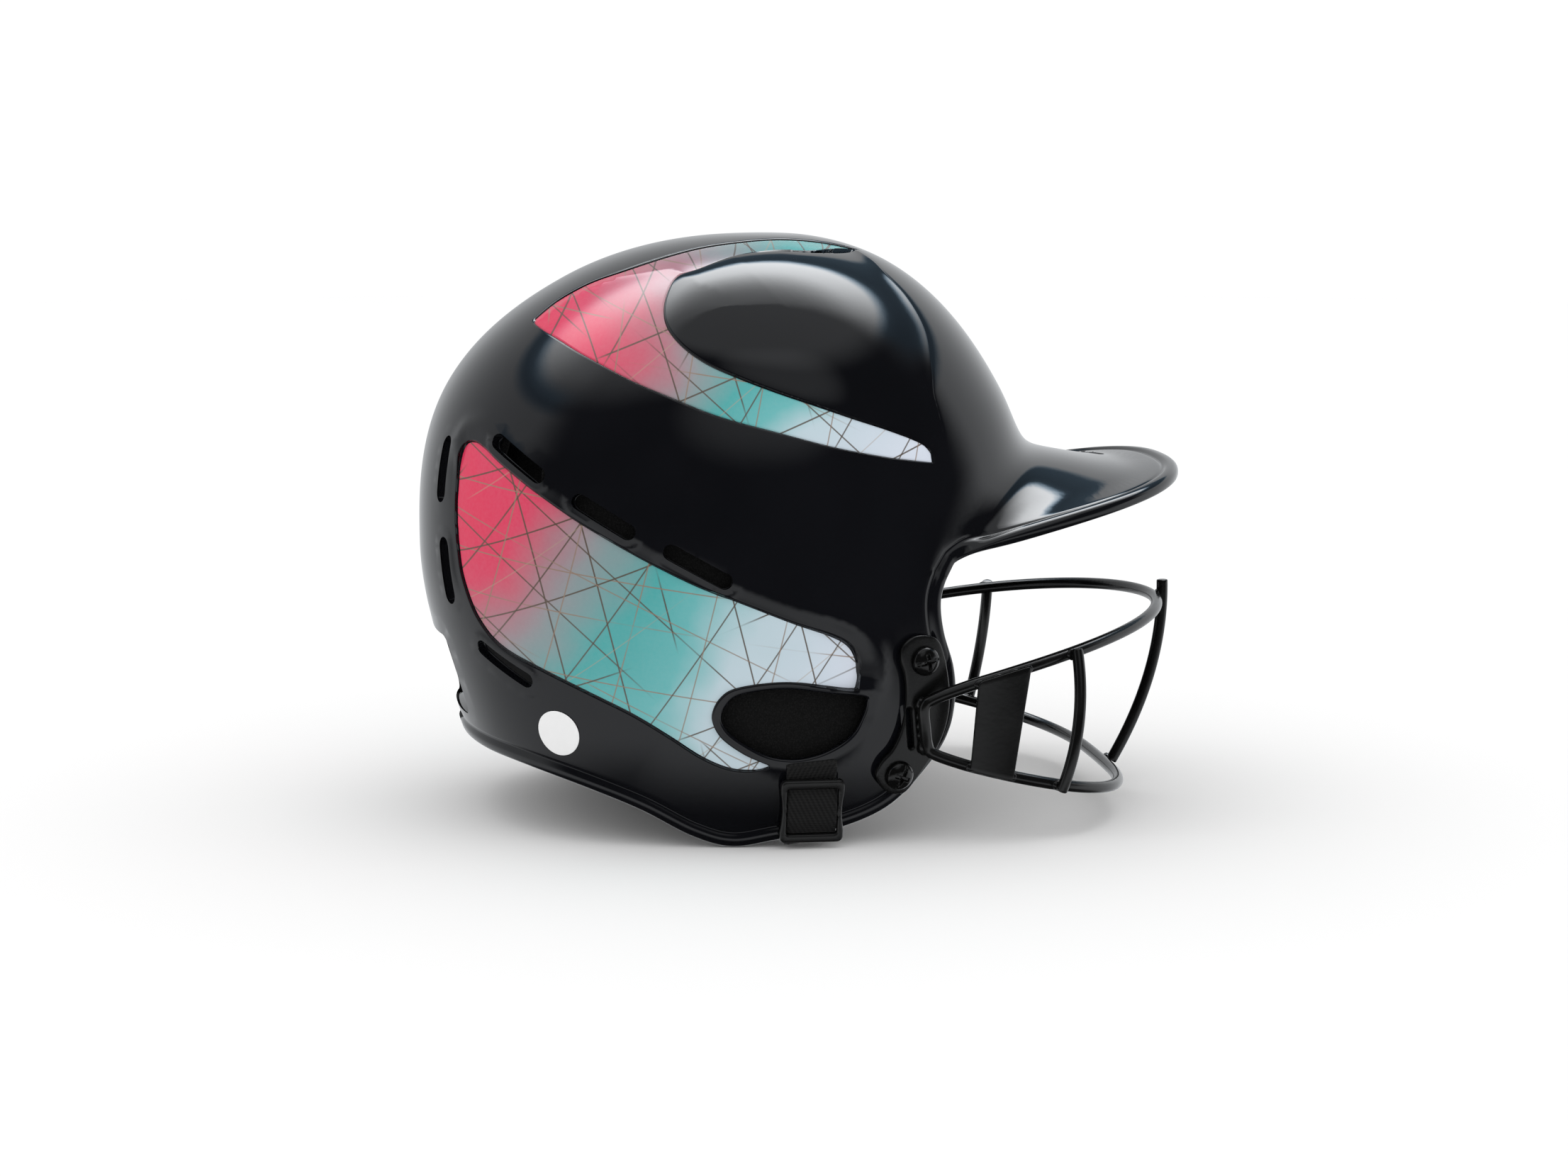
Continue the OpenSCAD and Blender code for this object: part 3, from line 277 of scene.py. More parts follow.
# Meshes, in millimetres
def make(name, points, faces, finishes, which=None, normals=None, weave=None):
    """A mesh object of faces (a list of index arrays) over points, smooth all over."""
    faces = [np.asarray(f, np.int64) for f in faces]
    mesh = bpy.data.meshes.new(name)
    mesh.vertices.add(len(points))
    mesh.vertices.foreach_set("co", (np.asarray(points, float) * MM).ravel())
    sizes = np.concatenate([np.full(len(f), f.shape[1]) for f in faces])
    corners = np.concatenate([f.ravel() for f in faces])
    mesh.loops.add(len(corners))
    mesh.loops.foreach_set("vertex_index", corners)
    mesh.polygons.add(len(sizes))
    mesh.polygons.foreach_set("loop_start", np.r_[0, np.cumsum(sizes)[:-1]])
    mesh.polygons.foreach_set("loop_total", sizes)
    mesh.polygons.foreach_set("use_smooth", np.ones(len(sizes), bool))
    for finish in finishes if isinstance(finishes, tuple) else (finishes,):
        mesh.materials.append(finish.material)
    if which is not None:
        mesh.polygons.foreach_set("material_index", which.astype(np.int32))
    mesh.update(calc_edges=True)
    if weave is not None:
        layer = mesh.uv_layers.new(name="Weave")
        layer.data.foreach_set("uv", weave[corners].ravel())
    if normals is not None:
        mesh.normals_split_custom_set_from_vertices(normals)
    thing = bpy.data.objects.new(name, mesh)
    bpy.context.collection.objects.link(thing)
    return thing


def fit(thing, slot, *nodes, body="helmet"):
    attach(thing, body)
    if nodes:
        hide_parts(*nodes)


def mirrored(points):
    return points * [1, -1, 1]


def both_hands(points, faces, slot, finish, name, node, body=None, normals=None, weave=None):
    """A right and a left piece from one set of points and faces."""
    for hand in ("right", "left"):
        if hand == "left":
            points, faces = mirrored(points), [f[:, ::-1] for f in faces]
            normals = None if normals is None else mirrored(normals)
        thing = make(f"{name}_{hand}", points, faces, finish, normals=normals, weave=weave)
        nodes = [f"{node}_{hand}"] if node else []
        fit(thing, slot, *nodes, body=f"{body}_{hand}" if body else "helmet")


def unit(v):
    return v / np.maximum(np.linalg.norm(v, axis=-1, keepdims=True), 1e-12)


def smooth(t):
    t = np.clip(t, 0, 1)
    return t * t * t * (10 + t * (6 * t - 15))


def slope_of(profile, x, e=1e-3):
    return (profile(x + e) - profile(x - e)) / (2 * e)


def heading(points, closed):
    """Unit directions along a line of points."""
    return unit(np.roll(points, -1, 0) - np.roll(points, 1, 0) if closed else np.gradient(points, axis=0))


def circle(n):
    return np.arange(n) * 2 * math.pi / n


def grid_quads(rows, cols, wrap_rows=False, wrap_cols=False):
    last_row, last_col = rows if wrap_rows else rows - 1, cols if wrap_cols else cols - 1
    i, j = (k.ravel() for k in np.meshgrid(np.arange(last_row), np.arange(last_col), indexing="ij"))
    k, l = (i + 1) % rows, (j + 1) % cols
    return np.stack([i * cols + j, i * cols + l, k * cols + l, k * cols + j], 1)


def looks(points, faces, way):
    """Whether faces, taken all together, look along way."""
    a, b, c = (points[faces[:, k]] for k in (0, 1, -1))
    return (np.cross(b - a, c - a) * way).sum() >= 0


def facing(points, faces, way, first=None):
    """The faces, turned over if all of them, or the first few, look against way."""
    return faces if looks(points, faces[:first], way) else faces[:, ::-1]


def each_facing(points, tris, normals):
    """Triangles that each look along their first point's normal."""
    a, b, c = (points[tris[:, k]] for k in range(3))
    over = (np.cross(b - a, c - a) * normals[tris[:, 0]]).sum(1) < 0
    tris[over] = tris[over][:, ::-1]
    return tris


def walls(ring, m):
    """Quads from a ring of points down to the same ring m points later."""
    after = np.roll(ring, -1)
    return np.stack([ring, after, after + m, ring + m], 1)


def joined(parts):
    """Several (points, faces) as one."""
    starts = np.cumsum([0] + [len(p) for p, _ in parts])
    return np.concatenate([p for p, _ in parts]), [f + start for (_, fs), start in zip(parts, starts) for f in fs]


def chained(index, closed):
    """Edges from each point to the next."""
    pairs = np.c_[index, np.roll(index, -1)]
    return [tuple(e) for e in (pairs if closed else pairs[:-1]).tolist()]


def staggered(low, high, step, tall=0.866):
    """Flat points in rows, every second row shifted by half a step."""
    x, z = np.meshgrid(np.arange(low[0], high[0], step), np.arange(low[1], high[1], step * tall))
    x = x + (np.arange(len(x)) % 2)[:, None] * step / 2
    return np.c_[x.ravel(), z.ravel()]


def split(flat_points, edges):
    """Triangles that keep the given edges: (places, triangles, each place's point or -1, each point's place)."""
    out = mathutils.geometry.delaunay_2d_cdt([Vector(p) for p in flat_points], edges, [], 0, 1e-5)
    places, tris = (np.array([v[:] for v in out[k]]) for k in (0, 2))
    origin = np.array([o[0] if o else -1 for o in out[3]])
    kept = np.flatnonzero(origin >= 0)[::-1]
    back = np.full(len(flat_points), -1)
    back[origin[kept]] = kept
    return places, tris, origin, back


def inside(q, ring):
    """Which flat points lie in a closed ring."""
    x, z = q[:, 0], q[:, 1]
    hit = np.zeros(len(q), bool)
    for (x0, z0), (x1, z1) in zip(ring, np.roll(ring, -1, 0)):
        if z0 != z1:
            cross = (z0 > z) != (z1 > z)
            hit ^= cross & (x < (x1 - x0) * (z - z0) / (z1 - z0) + x0)
    return hit


def nearest(points, line):
    """Distance from each point to the closest point of a line."""
    p = points.reshape(-1, points.shape[-1])
    gap = np.empty(len(p))
    for block in np.array_split(np.arange(len(p)), len(p) // 5000 + 1):
        gap[block] = np.sqrt(((p[block, None] - line) ** 2).sum(2).min(1))
    return gap.reshape(points.shape[:-1])


def between(f, a, b, c, d):
    """Smooth step from b to c as f goes from 0 to 1, with a before them and d after."""
    return b + f / 2 * (c - a + f * (2 * a - 5 * b + 4 * c - d + f * (3 * (b - c) + d - a)))


def curve(points, t):
    """A smooth curve through points, t from 0 to 1."""
    p = np.asarray(points, float)
    p = np.concatenate([[2 * p[0] - p[1]], p, [2 * p[-1] - p[-2]]])
    n = len(p) - 3
    s = np.clip(np.asarray(t, float), 0, 1) * n
    i = np.minimum(np.floor(s).astype(int), n - 1)
    return between((s - i)[..., None], *(p[i + k] for k in range(4)))


def closed_curve(points, n):
    """n points of a smooth closed curve through points."""
    p = np.asarray(points, float)
    p = np.concatenate([p[-2:], p, p[:3]])
    return curve(p, (2 + np.linspace(0, len(points), n, endpoint=False)) / (len(p) - 1))


def even(points, step, closed=False):
    """The same line with points a step apart."""
    p = np.asarray(points, float)
    if closed:
        p = np.concatenate([p, p[:1]])
    run = np.r_[0, np.cumsum(np.linalg.norm(np.diff(p, axis=0), axis=1))]
    at = np.linspace(0, run[-1], max(int(round(run[-1] / step)), 2) + 1)
    q = np.stack([np.interp(at, run, p[:, k]) for k in range(p.shape[1])], 1)
    return q[:-1] if closed else q


def smooth_loop(points, step):
    return even(closed_curve(points, 40 * len(points)), step, True)


# The shell's surface, the same as in the part's source
CENTRE = np.array([-35.3, 0.0, 110.21])
HALF_WIDTH, ROUND, WALL = 110.0, 2.4, 4.0
RADII = np.array([133, 133, 135.7, 127.2, 126.8, 130.3, 124.6, 128, 155, 190, 180, 150.0])
EAR_SWELL, EAR_AT, EAR_SPREAD, SWELL_FULL = 4.0, (30.0, -55.0), 45.0, 60.0
BILL_SPAN, BILL_LENGTH, BILL_FAN, BILL_SLOPE = 48.5, 64.0, 0.75, 3.0
BROW_RISE, BROW_DROP, BROW_BEND, BROW_HOLLOW = 35.3, 33.6, 2.4, 3.0
BELT_FRONT, BELT_TEMPLE, BELT_BEND = 27.0, 14.0, 1.2
BILL_SAG, SAG_NEAR, SAG_FAR, SAG_REACH = 3.4, 24.0, 64.0, 13.0
RIM_SIDE = np.array([
    [82.6, 1.7], [78.2, -6.4], [76.5, -14.5], [78.0, -26], [82.4, -40], [83.5, -53], [81, -66.5], [73.5, -78.5],
    [57, -95], [36, -103.5], [11, -107.4], [-7, -110], [-23, -105.5], [-43, -95], [-65, -86.5],
    [-86, -80.5], [-100, -78], [-107.3, -76.8], [-109.6, -76.5]])


def side_radius(x, z):
    count = len(RADII)
    s = (np.degrees(np.arctan2(z, x)) % 360) / (360 / count)
    i = np.floor(s).astype(int)
    return between(s - i, *(RADII[(i + k) % count] for k in (-1, 0, 1, 2)))


def swell(q):
    near = np.exp(-((q[..., 0] - EAR_AT[0]) ** 2 + (q[..., 2] - EAR_AT[1]) ** 2) / (2 * EAR_SPREAD**2))
    return EAR_SWELL * np.clip(np.abs(q[..., 1]) / SWELL_FULL, 0, 1) * near * np.sign(q[..., 1])


def dome(d):
    d = np.asarray(d, float)
    tau = np.hypot(d[..., 0], d[..., 2]) / side_radius(d[..., 0], d[..., 2])
    r = ((np.abs(d[..., 1]) / HALF_WIDTH) ** ROUND + tau**ROUND) ** (-1 / ROUND)
    q = d * r[..., None]
    q[..., 1] += swell(q)
    return q + CENTRE


def dome_normal(d, e=0.004):
    up = np.where(np.abs(d[..., 2:3]) < 0.9, [0.0, 0.0, 1.0], [1.0, 0.0, 0.0])
    a = unit(np.cross(d, up))
    step = lambda way: dome(unit(d + e * way)) - dome(unit(d - e * way))
    return unit(np.cross(step(a), step(np.cross(d, a))))


def towards(points):
    """Direction from the shell's centre whose surface point is nearest along the ray."""
    q = np.asarray(points, float) - CENTRE
    base = q.copy()
    for _ in range(3):
        base[..., 1] = q[..., 1] - swell(base)
    return unit(base)


def raised(d, h):
    return dome(d) + dome_normal(d) * np.asarray(h, float)[..., None]


def by_roll(ab):
    a, b = np.moveaxis(np.radians(np.asarray(ab, float)), -1, 0)
    return np.stack([np.sin(a), -np.cos(a) * np.sin(b), np.cos(a) * np.cos(b)], -1)


def by_bearing(az, el):
    az, el = np.radians(az), np.radians(el)
    return np.stack([np.cos(az) * np.cos(el), -np.sin(az) * np.cos(el), np.sin(el)], -1)


def by_side(q):
    q = np.asarray(q, float)
    t = np.hypot(q[..., 0], q[..., 1]) / side_radius(q[..., 0], q[..., 1])
    half = HALF_WIDTH * np.clip(1 - t**ROUND, 0, None) ** (1 / ROUND)
    return unit(np.stack([q[..., 0], -half, q[..., 1]], -1))


def brow_elevation(az, z):
    low, high = np.full(np.shape(az), -30.0), np.full(np.shape(az), 60.0)
    for _ in range(30):
        mid = (low + high) / 2
        above = dome(by_bearing(az, mid))[..., 2] > z
        high, low = np.where(above, mid, high), np.where(above, low, mid)
    return (low + high) / 2


def belt_at(v):
    """The elevation in degrees at which the bill leaves the dome."""
    return BELT_FRONT + (BELT_TEMPLE - BELT_FRONT) * np.abs(v) ** BELT_BEND


def bill_point(v, s, sag=BILL_SAG):
    """The bill: v from the middle to the temple, s from the belt to the edge. It sags inside its edge."""
    v, s = np.broadcast_arrays(np.asarray(v, float), np.asarray(s, float))
    az, belt = BILL_SPAN * v, belt_at(v)
    brow = brow_elevation(az, CENTRE[2] + BROW_RISE - BROW_DROP * np.abs(v) ** BROW_BEND)
    reach = BILL_LENGTH * np.clip(1 - np.abs(v) ** 3, 0, None) ** 1.5
    hollow = 2 * BROW_HOLLOW * s * (1 - s)
    den = (1 - s) ** 2 + hollow + s * s
    q, f = (hollow + s * s) / den, s * s / den
    fan = np.radians(BILL_FAN * az)
    away = np.stack([reach * np.cos(fan), -reach * np.sin(fan), -BILL_SLOPE * reach / BILL_LENGTH], -1)
    p = dome(by_bearing(az, belt + (brow - belt) * q)) + away * f[..., None]
    if sag:
        far = nearest(p, bill_side)
        dip = smooth(far / SAG_NEAR) * (1 - smooth((far - SAG_NEAR) / (SAG_FAR - SAG_NEAR)))
        p[..., 2] -= sag * f * smooth(reach / SAG_REACH) * dip
    return p


bill_side = bill_point(np.linspace(0, 1, 140), 1.0, 0)


def bill_normal(v, s, e=0.002):
    v, s = np.broadcast_arrays(np.asarray(v, float), np.asarray(s, float))
    along = bill_point(np.minimum(v + e, 1.0), s) - bill_point(v - e, s)
    across = bill_point(v, np.minimum(s + e, 1.0)) - bill_point(v, np.maximum(s - e, 0))
    return unit(np.cross(along, across))


# The rim, as one half from the bill's middle to the nape
BILL_COLS, SIDE_COLS, RIM_INSET = 96, 250, 6.0
BILL_PART = BILL_COLS + 6
SHELL_MIDDLE = np.array([-20, 0, 170])
# rows of the rim's bead: distance in from the edge, height over the surface
RIM_OUTER = [(9, 0), (7.6, 0), (6.9, -0.06), (6.4, -0.3), (6.0, -0.38), (5.6, -0.3), (5.1, 0.05), (4.7, 0.42),
             (4.1, 0.8), (3.4, 1.02), (2.5, 1.1), (1.6, 1.08), (0.9, 0.92)]
RIM_INNER = [(0.35, 0.62), (-0.1, 0.2), (-0.42, -0.4), (-0.58, -1.1), (-0.6, -1.9), (-0.5, -2.7), (-0.2, -3.4),
             (0.4, -3.85), (1.2, -4.0)]
RIM_BACK = (4.5, 9)
rim_fine = curve(RIM_SIDE, np.linspace(0, 1, 3000))


def run_on(rows):
    """The half rim's rows, with one more over each of its ends."""
    return np.concatenate([mirrored(rows[1:2]), rows, mirrored(rows[-2:-1])])


def blurred(rows, times):
    """Unit rows evened along the half rim."""
    for _ in range(times):
        wide = run_on(rows)
        rows = (wide[:-2] + 2 * wide[1:-1] + wide[2:]) / 4
    return unit(rows)


def half_rim():
    """The edge's points, normals and outward directions."""
    dirs = by_side(rim_fine)
    dirs[-1] = unit(np.array([rim_fine[-1, 0], 0, rim_fine[-1, 1]]))
    run = np.r_[0, np.cumsum(np.linalg.norm(np.diff(dome(dirs), axis=0), axis=1))]
    at = np.linspace(0, run[-1], SIDE_COLS + 1)[1:]
    side = unit(np.stack([np.interp(at, run, dirs[:, k]) for k in range(3)], 1))
    v, s = np.linspace(0, 1, BILL_COLS + 1), np.linspace(0.2, 1, 240)
    points = np.concatenate([bill_point(v, 1.0), dome(side)])
    gap = np.linalg.norm(bill_point(v[:, None], s) - points[: BILL_COLS + 1, None], axis=2)
    inset = s[np.argmin(np.abs(gap - RIM_INSET), axis=1)]
    normals = np.concatenate([bill_normal(v, np.minimum(inset, 0.998)), dome_normal(side)])
    points[[0, -1], 1] = normals[[0, -1], 1] = 0
    normals = blurred(normals, 40)
    wide = run_on(points)
    out = np.cross(unit(wide[2:] - wide[:-2]), normals)
    out *= np.sign(np.sum(out * (points - SHELL_MIDDLE)))
    return points, normals, blurred(out, 30)


def bill_net():
    """A fine net of the plain bill, closest near its edge: points, normals and a search tree."""
    v, s = np.meshgrid(np.linspace(0, 1, 240), np.linspace(0, 1, 260), indexing="ij")
    s = 1 - (1 - s) ** 1.5
    points, normals = (f(v, s).reshape(-1, 3) for f in (bill_point, bill_normal))
    tree = mathutils.kdtree.KDTree(len(points))
    for i, p in enumerate(points):
        tree.insert(p, i)
    tree.balance()
    return points, normals, tree


edge, edge_normal, edge_out = half_rim()
net, net_normal, net_tree = bill_net()


def settle(inset):
    """The edge moved in and set on the plain surface, with normals; BILL_PART points are on or near the bill."""
    points, count = edge - edge_out * inset, BILL_PART
    spots, normals = points.copy(), np.empty_like(points)
    d = towards(points[count:])
    spots[count:], normals[count:] = dome(d), dome_normal(d)
    found = [net_tree.find_n(p, 4) for p in points[:count]]
    index, gap = (np.array([[f[k] for f in near] for near in found]) for k in (1, 2))
    weight = 1 / (gap + 0.05)
    weight /= weight.sum(1, keepdims=True)
    normals[:count] = unit((net_normal[index] * weight[..., None]).sum(1))
    normals = blurred(normals, 3)
    off = (((points[:count, None] - net[index]) * normals[:count, None]).sum(2) * weight).sum(1)
    for _ in range(4):
        off[1:-1] = (off[:-2] + 2 * off[1:-1] + off[2:]) / 4
    spots[:count] = points[:count] - off[:, None] * normals[:count]
    spots[[0, -1], 1] = normals[[0, -1], 1] = 0
    return spots, unit(normals)


rim_first, rim_first_normal = settle(RIM_OUTER[0][0])
rim_rows = [spot + normal * n for t, n in RIM_OUTER for spot, normal in [settle(t)]]
rim_rows += [edge - edge_out * t + edge_normal * n for t, n in RIM_INNER]
rim_rows += [spot - normal * WALL for spot, normal in map(settle, RIM_BACK)]

# Flat map of the right half: seen from the right, unrolled, the bill pushed out forwards
FLAT = 115.0


def flat(d):
    angle = np.arccos(np.clip(-d[..., 1], -1, 1))
    side = np.hypot(d[..., 0], d[..., 2])
    return np.stack([d[..., 0], d[..., 2]], -1) * (FLAT * angle / np.maximum(side, 1e-9))[..., None]


def unflat(q):
    run = np.hypot(q[..., 0], q[..., 1])
    angle = np.minimum(run / FLAT, math.pi / 2)
    side = np.sin(angle) / np.maximum(run, 1e-9)
    return np.stack([q[..., 0] * side, -np.cos(angle), q[..., 1] * side], -1)


def flat_of(points):
    d = towards(points)
    extra = np.clip(np.linalg.norm(points - dome(d), axis=-1) - 0.02, 0, None)
    q = flat(d)
    q[..., 0] += extra * smooth((d[..., 0] - 0.3) / 0.2)
    return q


class Line:
    """A feature line on the shell: its surface points, and distances from it."""

    def __init__(self, points, closed):
        self.closed = closed
        self.fine = dome(towards(even(points, 0.3, closed)))
        self.ring = flat(towards(self.fine))

    def away(self, points, reach):
        """Distance and unit direction from the line, for points within reach; far points get reach."""
        dist, way = np.full(len(points), float(reach)), np.zeros((len(points), 3))
        lo, hi = self.fine.min(0) - reach, self.fine.max(0) + reach
        near = np.flatnonzero(((points > lo) & (points < hi)).all(1))
        n, rough = len(self.fine), self.fine[::6]
        for block in np.array_split(near, max(1, len(near) * len(rough) // 4_000_000)):
            p = points[block]
            first = np.argmin(((p[:, None] - rough[None]) ** 2).sum(2), 1) * 6
            index = first[:, None] + np.arange(-8, 8)
            index = index % n if self.closed else np.clip(index, 0, n - 2)
            a = self.fine[index]
            run = self.fine[(index + 1) % n] - a
            t = np.clip(((p[:, None] - a) * run).sum(2) / np.maximum((run**2).sum(2), 1e-9), 0, 1)
            gap = p[:, None] - (a + run * t[..., None])
            size = (gap**2).sum(2)
            row, best = np.arange(len(block)), np.argmin(size, 1)
            d = np.sqrt(size[row, best])
            ok = d < reach
            dist[block[ok]] = d[ok]
            way[block[ok]] = gap[row, best][ok] / np.maximum(d[ok], 1e-6)[:, None]
        return dist, way

    def signed(self, points, q, reach):
        """The same with plus inside the ring and directions that point inwards."""
        dist, way = self.away(points, reach)
        sign = np.where(inside(q, self.ring[::3]), 1.0, -1.0)
        return dist * sign, way * sign[:, None]


# Outlines on the shell, as roll angles in degrees
CROWN_OUTER = [
    [24.5, 8.3], [16.4, 9.1], [9.6, 9.4], [2.4, 11.1], [-4.8, 12.9], [-12, 15.2], [-19.3, 16.6], [-26.6, 15.9],
    [-32.9, 16.7], [-37, 19.3], [-38, 20.4], [-37.7, 23.5], [-35.3, 30.3], [-30.1, 39.9], [-22.5, 48.5],
    [-14.5, 54.1], [-5.8, 58.5], [5, 61.8], [15.9, 64.5], [25.8, 65.8], [32.2, 66], [36.6, 65.9]]
CROWN_INNER = [
    [23.6, 9.8], [15.2, 16.6], [8.5, 17.6], [1.4, 19.4], [-6, 23.6], [-10.3, 25.4], [-12.7, 30.5], [-13.7, 35.6],
    [-13.1, 39.9], [-10.8, 44.1], [-7, 47.8], [-1.7, 50.8], [5.2, 53.8], [12.2, 56.2], [19.5, 58.3], [27, 59.9],
    [32, 61], [34.6, 61.9], [36.2, 63.4]]
FOREHEAD = [
    [24.2, 9.5], [26.3, 15], [27.8, 20.1], [31.5, 26.6], [34.6, 34.7], [35.5, 44.4], [35.9, 49.8], [37.2, 54.2],
    [38.4, 59], [37.8, 63.6]]
CROWN_FOLD = [[-37, 21.5], [-32, 20.2], [-26.6, 19], [-19.3, 19.2], [-12, 21.5], [-9, 25]]
SIDE_UPPER = [
    [-62.4, 74], [-61.6, 66.5], [-60.6, 61], [-59.2, 54.4], [-57.4, 49.8], [-55.6, 48.7], [-53.6, 50.3],
    [-51.9, 53.2], [-47.6, 61.5], [-41.5, 70], [-34.8, 76.9], [-28, 82.1], [-20.9, 86.7], [-12.6, 91.1],
    [-6.2, 93.7], [0.5, 96.4], [7.9, 99.4], [15.7, 102.2], [19.3, 104.6], [20.7, 107.8], [20.6, 110.8]]
SIDE_LOWER = [
    [-62.4, 76], [-62.5, 82], [-61.6, 93.2], [-58.4, 104.4], [-54.4, 110.4], [-49.5, 113.3], [-41.9, 114.4],
    [-34, 115.8], [-26.4, 117.6], [-21.1, 119.3], [-14.9, 122.1], [-9, 125], [-4, 126.6], [0, 126.8],
    [2.6, 126.3], [3.0, 126.0], [1.6, 125.4], [-1.8, 123.9], [-5.5, 121.5], [-7.3, 119.0], [-7.6, 116.8],
    [-6.4, 114.2], [-3.9, 112.4], [1.5, 111.4], [7.5, 111.3], [14, 112.5], [17.6, 113.3], [19.8, 113.6]]
EAR_HOLE = [
    [21.2, 114.6], [14.7, 113.3], [7.5, 112.1], [1.7, 112.2], [-3.3, 113.2], [-5.6, 115.3], [-6.4, 117.9],
    [-4.9, 120.5], [-1.3, 122.9], [2.2, 124.6], [5.6, 125.4], [8.9, 125.5], [12.7, 124.9], [16.4, 123.5],
    [18.9, 121.7], [20.5, 119.3], [21.6, 116.6]]
VENTS = [
    [[-61.1, 40.3], [-66.9, 60.5]], [[-67.6, 80.5], [-65.1, 107.1]], [[-55.6, 116.8], [-42.7, 118.9]],
    [[-48.2, 53.9], [-39.9, 67.1]], [[-33.9, 72.8], [-23.8, 80.9]], [[-17.3, 84.2], [-5, 91.3]]]
VENT_WIDTHS = (8.4, 8.4, 6.4, 6.4, 6.4, 6.4)
PORT_HALF, PORT_LOW, PORT_HIGH, PORT_CORNER = 35.0, 44.2, 77.2, 5.5


def rolled(angles):
    return dome(by_roll(curve(angles, np.linspace(0, 1, 400))))


def ring_between(one, other):
    return Line(np.concatenate([rolled(one), rolled(other)[::-1]]), True)


def slot_ring(ends, width):
    a, b = dome(by_roll(ends))
    run = unit(b - a)
    side = unit(np.cross(dome_normal(by_roll(np.mean(ends, 0))), run))
    turn, r = np.linspace(0, math.pi, 24)[:, None], width / 2
    arc, end = r * (np.sin(turn) * run + np.cos(turn) * side), run * r * 0.6
    return dome(towards(even(np.concatenate([b - end + arc, a + end - arc]), 0.5, True)))


def port_ring():
    """The rear port's right half: a rounded box seen from behind, laid on the dome."""
    turn, r = np.linspace(0, math.pi / 2, 14), PORT_CORNER
    y, lo, hi = PORT_HALF - r, PORT_LOW + r, PORT_HIGH - r
    side = even(np.concatenate([
        [[0, hi + r]], np.c_[y + r * np.sin(turn), hi + r * np.cos(turn)],
        np.c_[y + r * np.cos(turn), lo - r * np.sin(turn)], [[0, lo - r]]]), 0.5)
    p = np.c_[np.full(len(side), -150.0), -side[:, 0], side[:, 1]]
    for _ in range(25):
        p[:, 0] = dome(towards(p))[:, 0] * 0.6 + p[:, 0] * 0.4
    return p


crown_line, side_line = ring_between(CROWN_OUTER, CROWN_INNER), ring_between(SIDE_UPPER, SIDE_LOWER)
oval_line = ring_between(CROWN_INNER, FOREHEAD)
crown_in, forehead_line, vent_ridge, crown_fold = (
    Line(rolled(a), False) for a in (CROWN_INNER, FOREHEAD, SIDE_UPPER[5:], CROWN_FOLD))
ear_ring, half_port = dome(by_roll(closed_curve(EAR_HOLE, 500))), port_ring()
ear_line = Line(ear_ring, True)
vent_lines = [Line(slot_ring(v, w), True) for v, w in zip(VENTS, VENT_WIDTHS)]
port_line = Line(np.concatenate([half_port, mirrored(half_port[::-1][1:-1])]), True)
HOLES = [ear_line, *vent_lines, port_line]

# Relief over the plain surface, in mm
POCKET_DEEP, POCKET_START, POCKET_WIDE = 1.35, 0.5, 1.9
SIDE_START, SIDE_WIDE, FRONT_WIDER, FRONT_DEEPER = 0.7, 2.0, 0.9, 0.9
CREASE_DEEP, CREASE_WIDE = 0.30, 13
OVAL_HIGH, OVAL_WIDE, OVAL_FADE = 1.7, 8, 18
BORDER_HIGH, BORDER_AT, BORDER_WIDE = 0.9, -8.5, 5.5
RIDGE_HIGH, RIDGE_AT, RIDGE_WIDE = 0.9, 6.5, 4.6
EAR_RISE, VENT_RISE, PORT_DIP = (0.3, 2.2, 2.6), (0.5, 1.6, 1.7), (-0.5, 3.4, 2.2)
HOLE_RISES = [EAR_RISE, *[VENT_RISE] * len(vent_lines), PORT_DIP]


def front_share(points):
    """0 behind the side panel's front end, 1 at it."""
    return smooth((points[:, 0] + 30) / 40)


def hill(high, at, wide):
    return lambda x: high * np.exp(-(((x - at) / wide) ** 2))


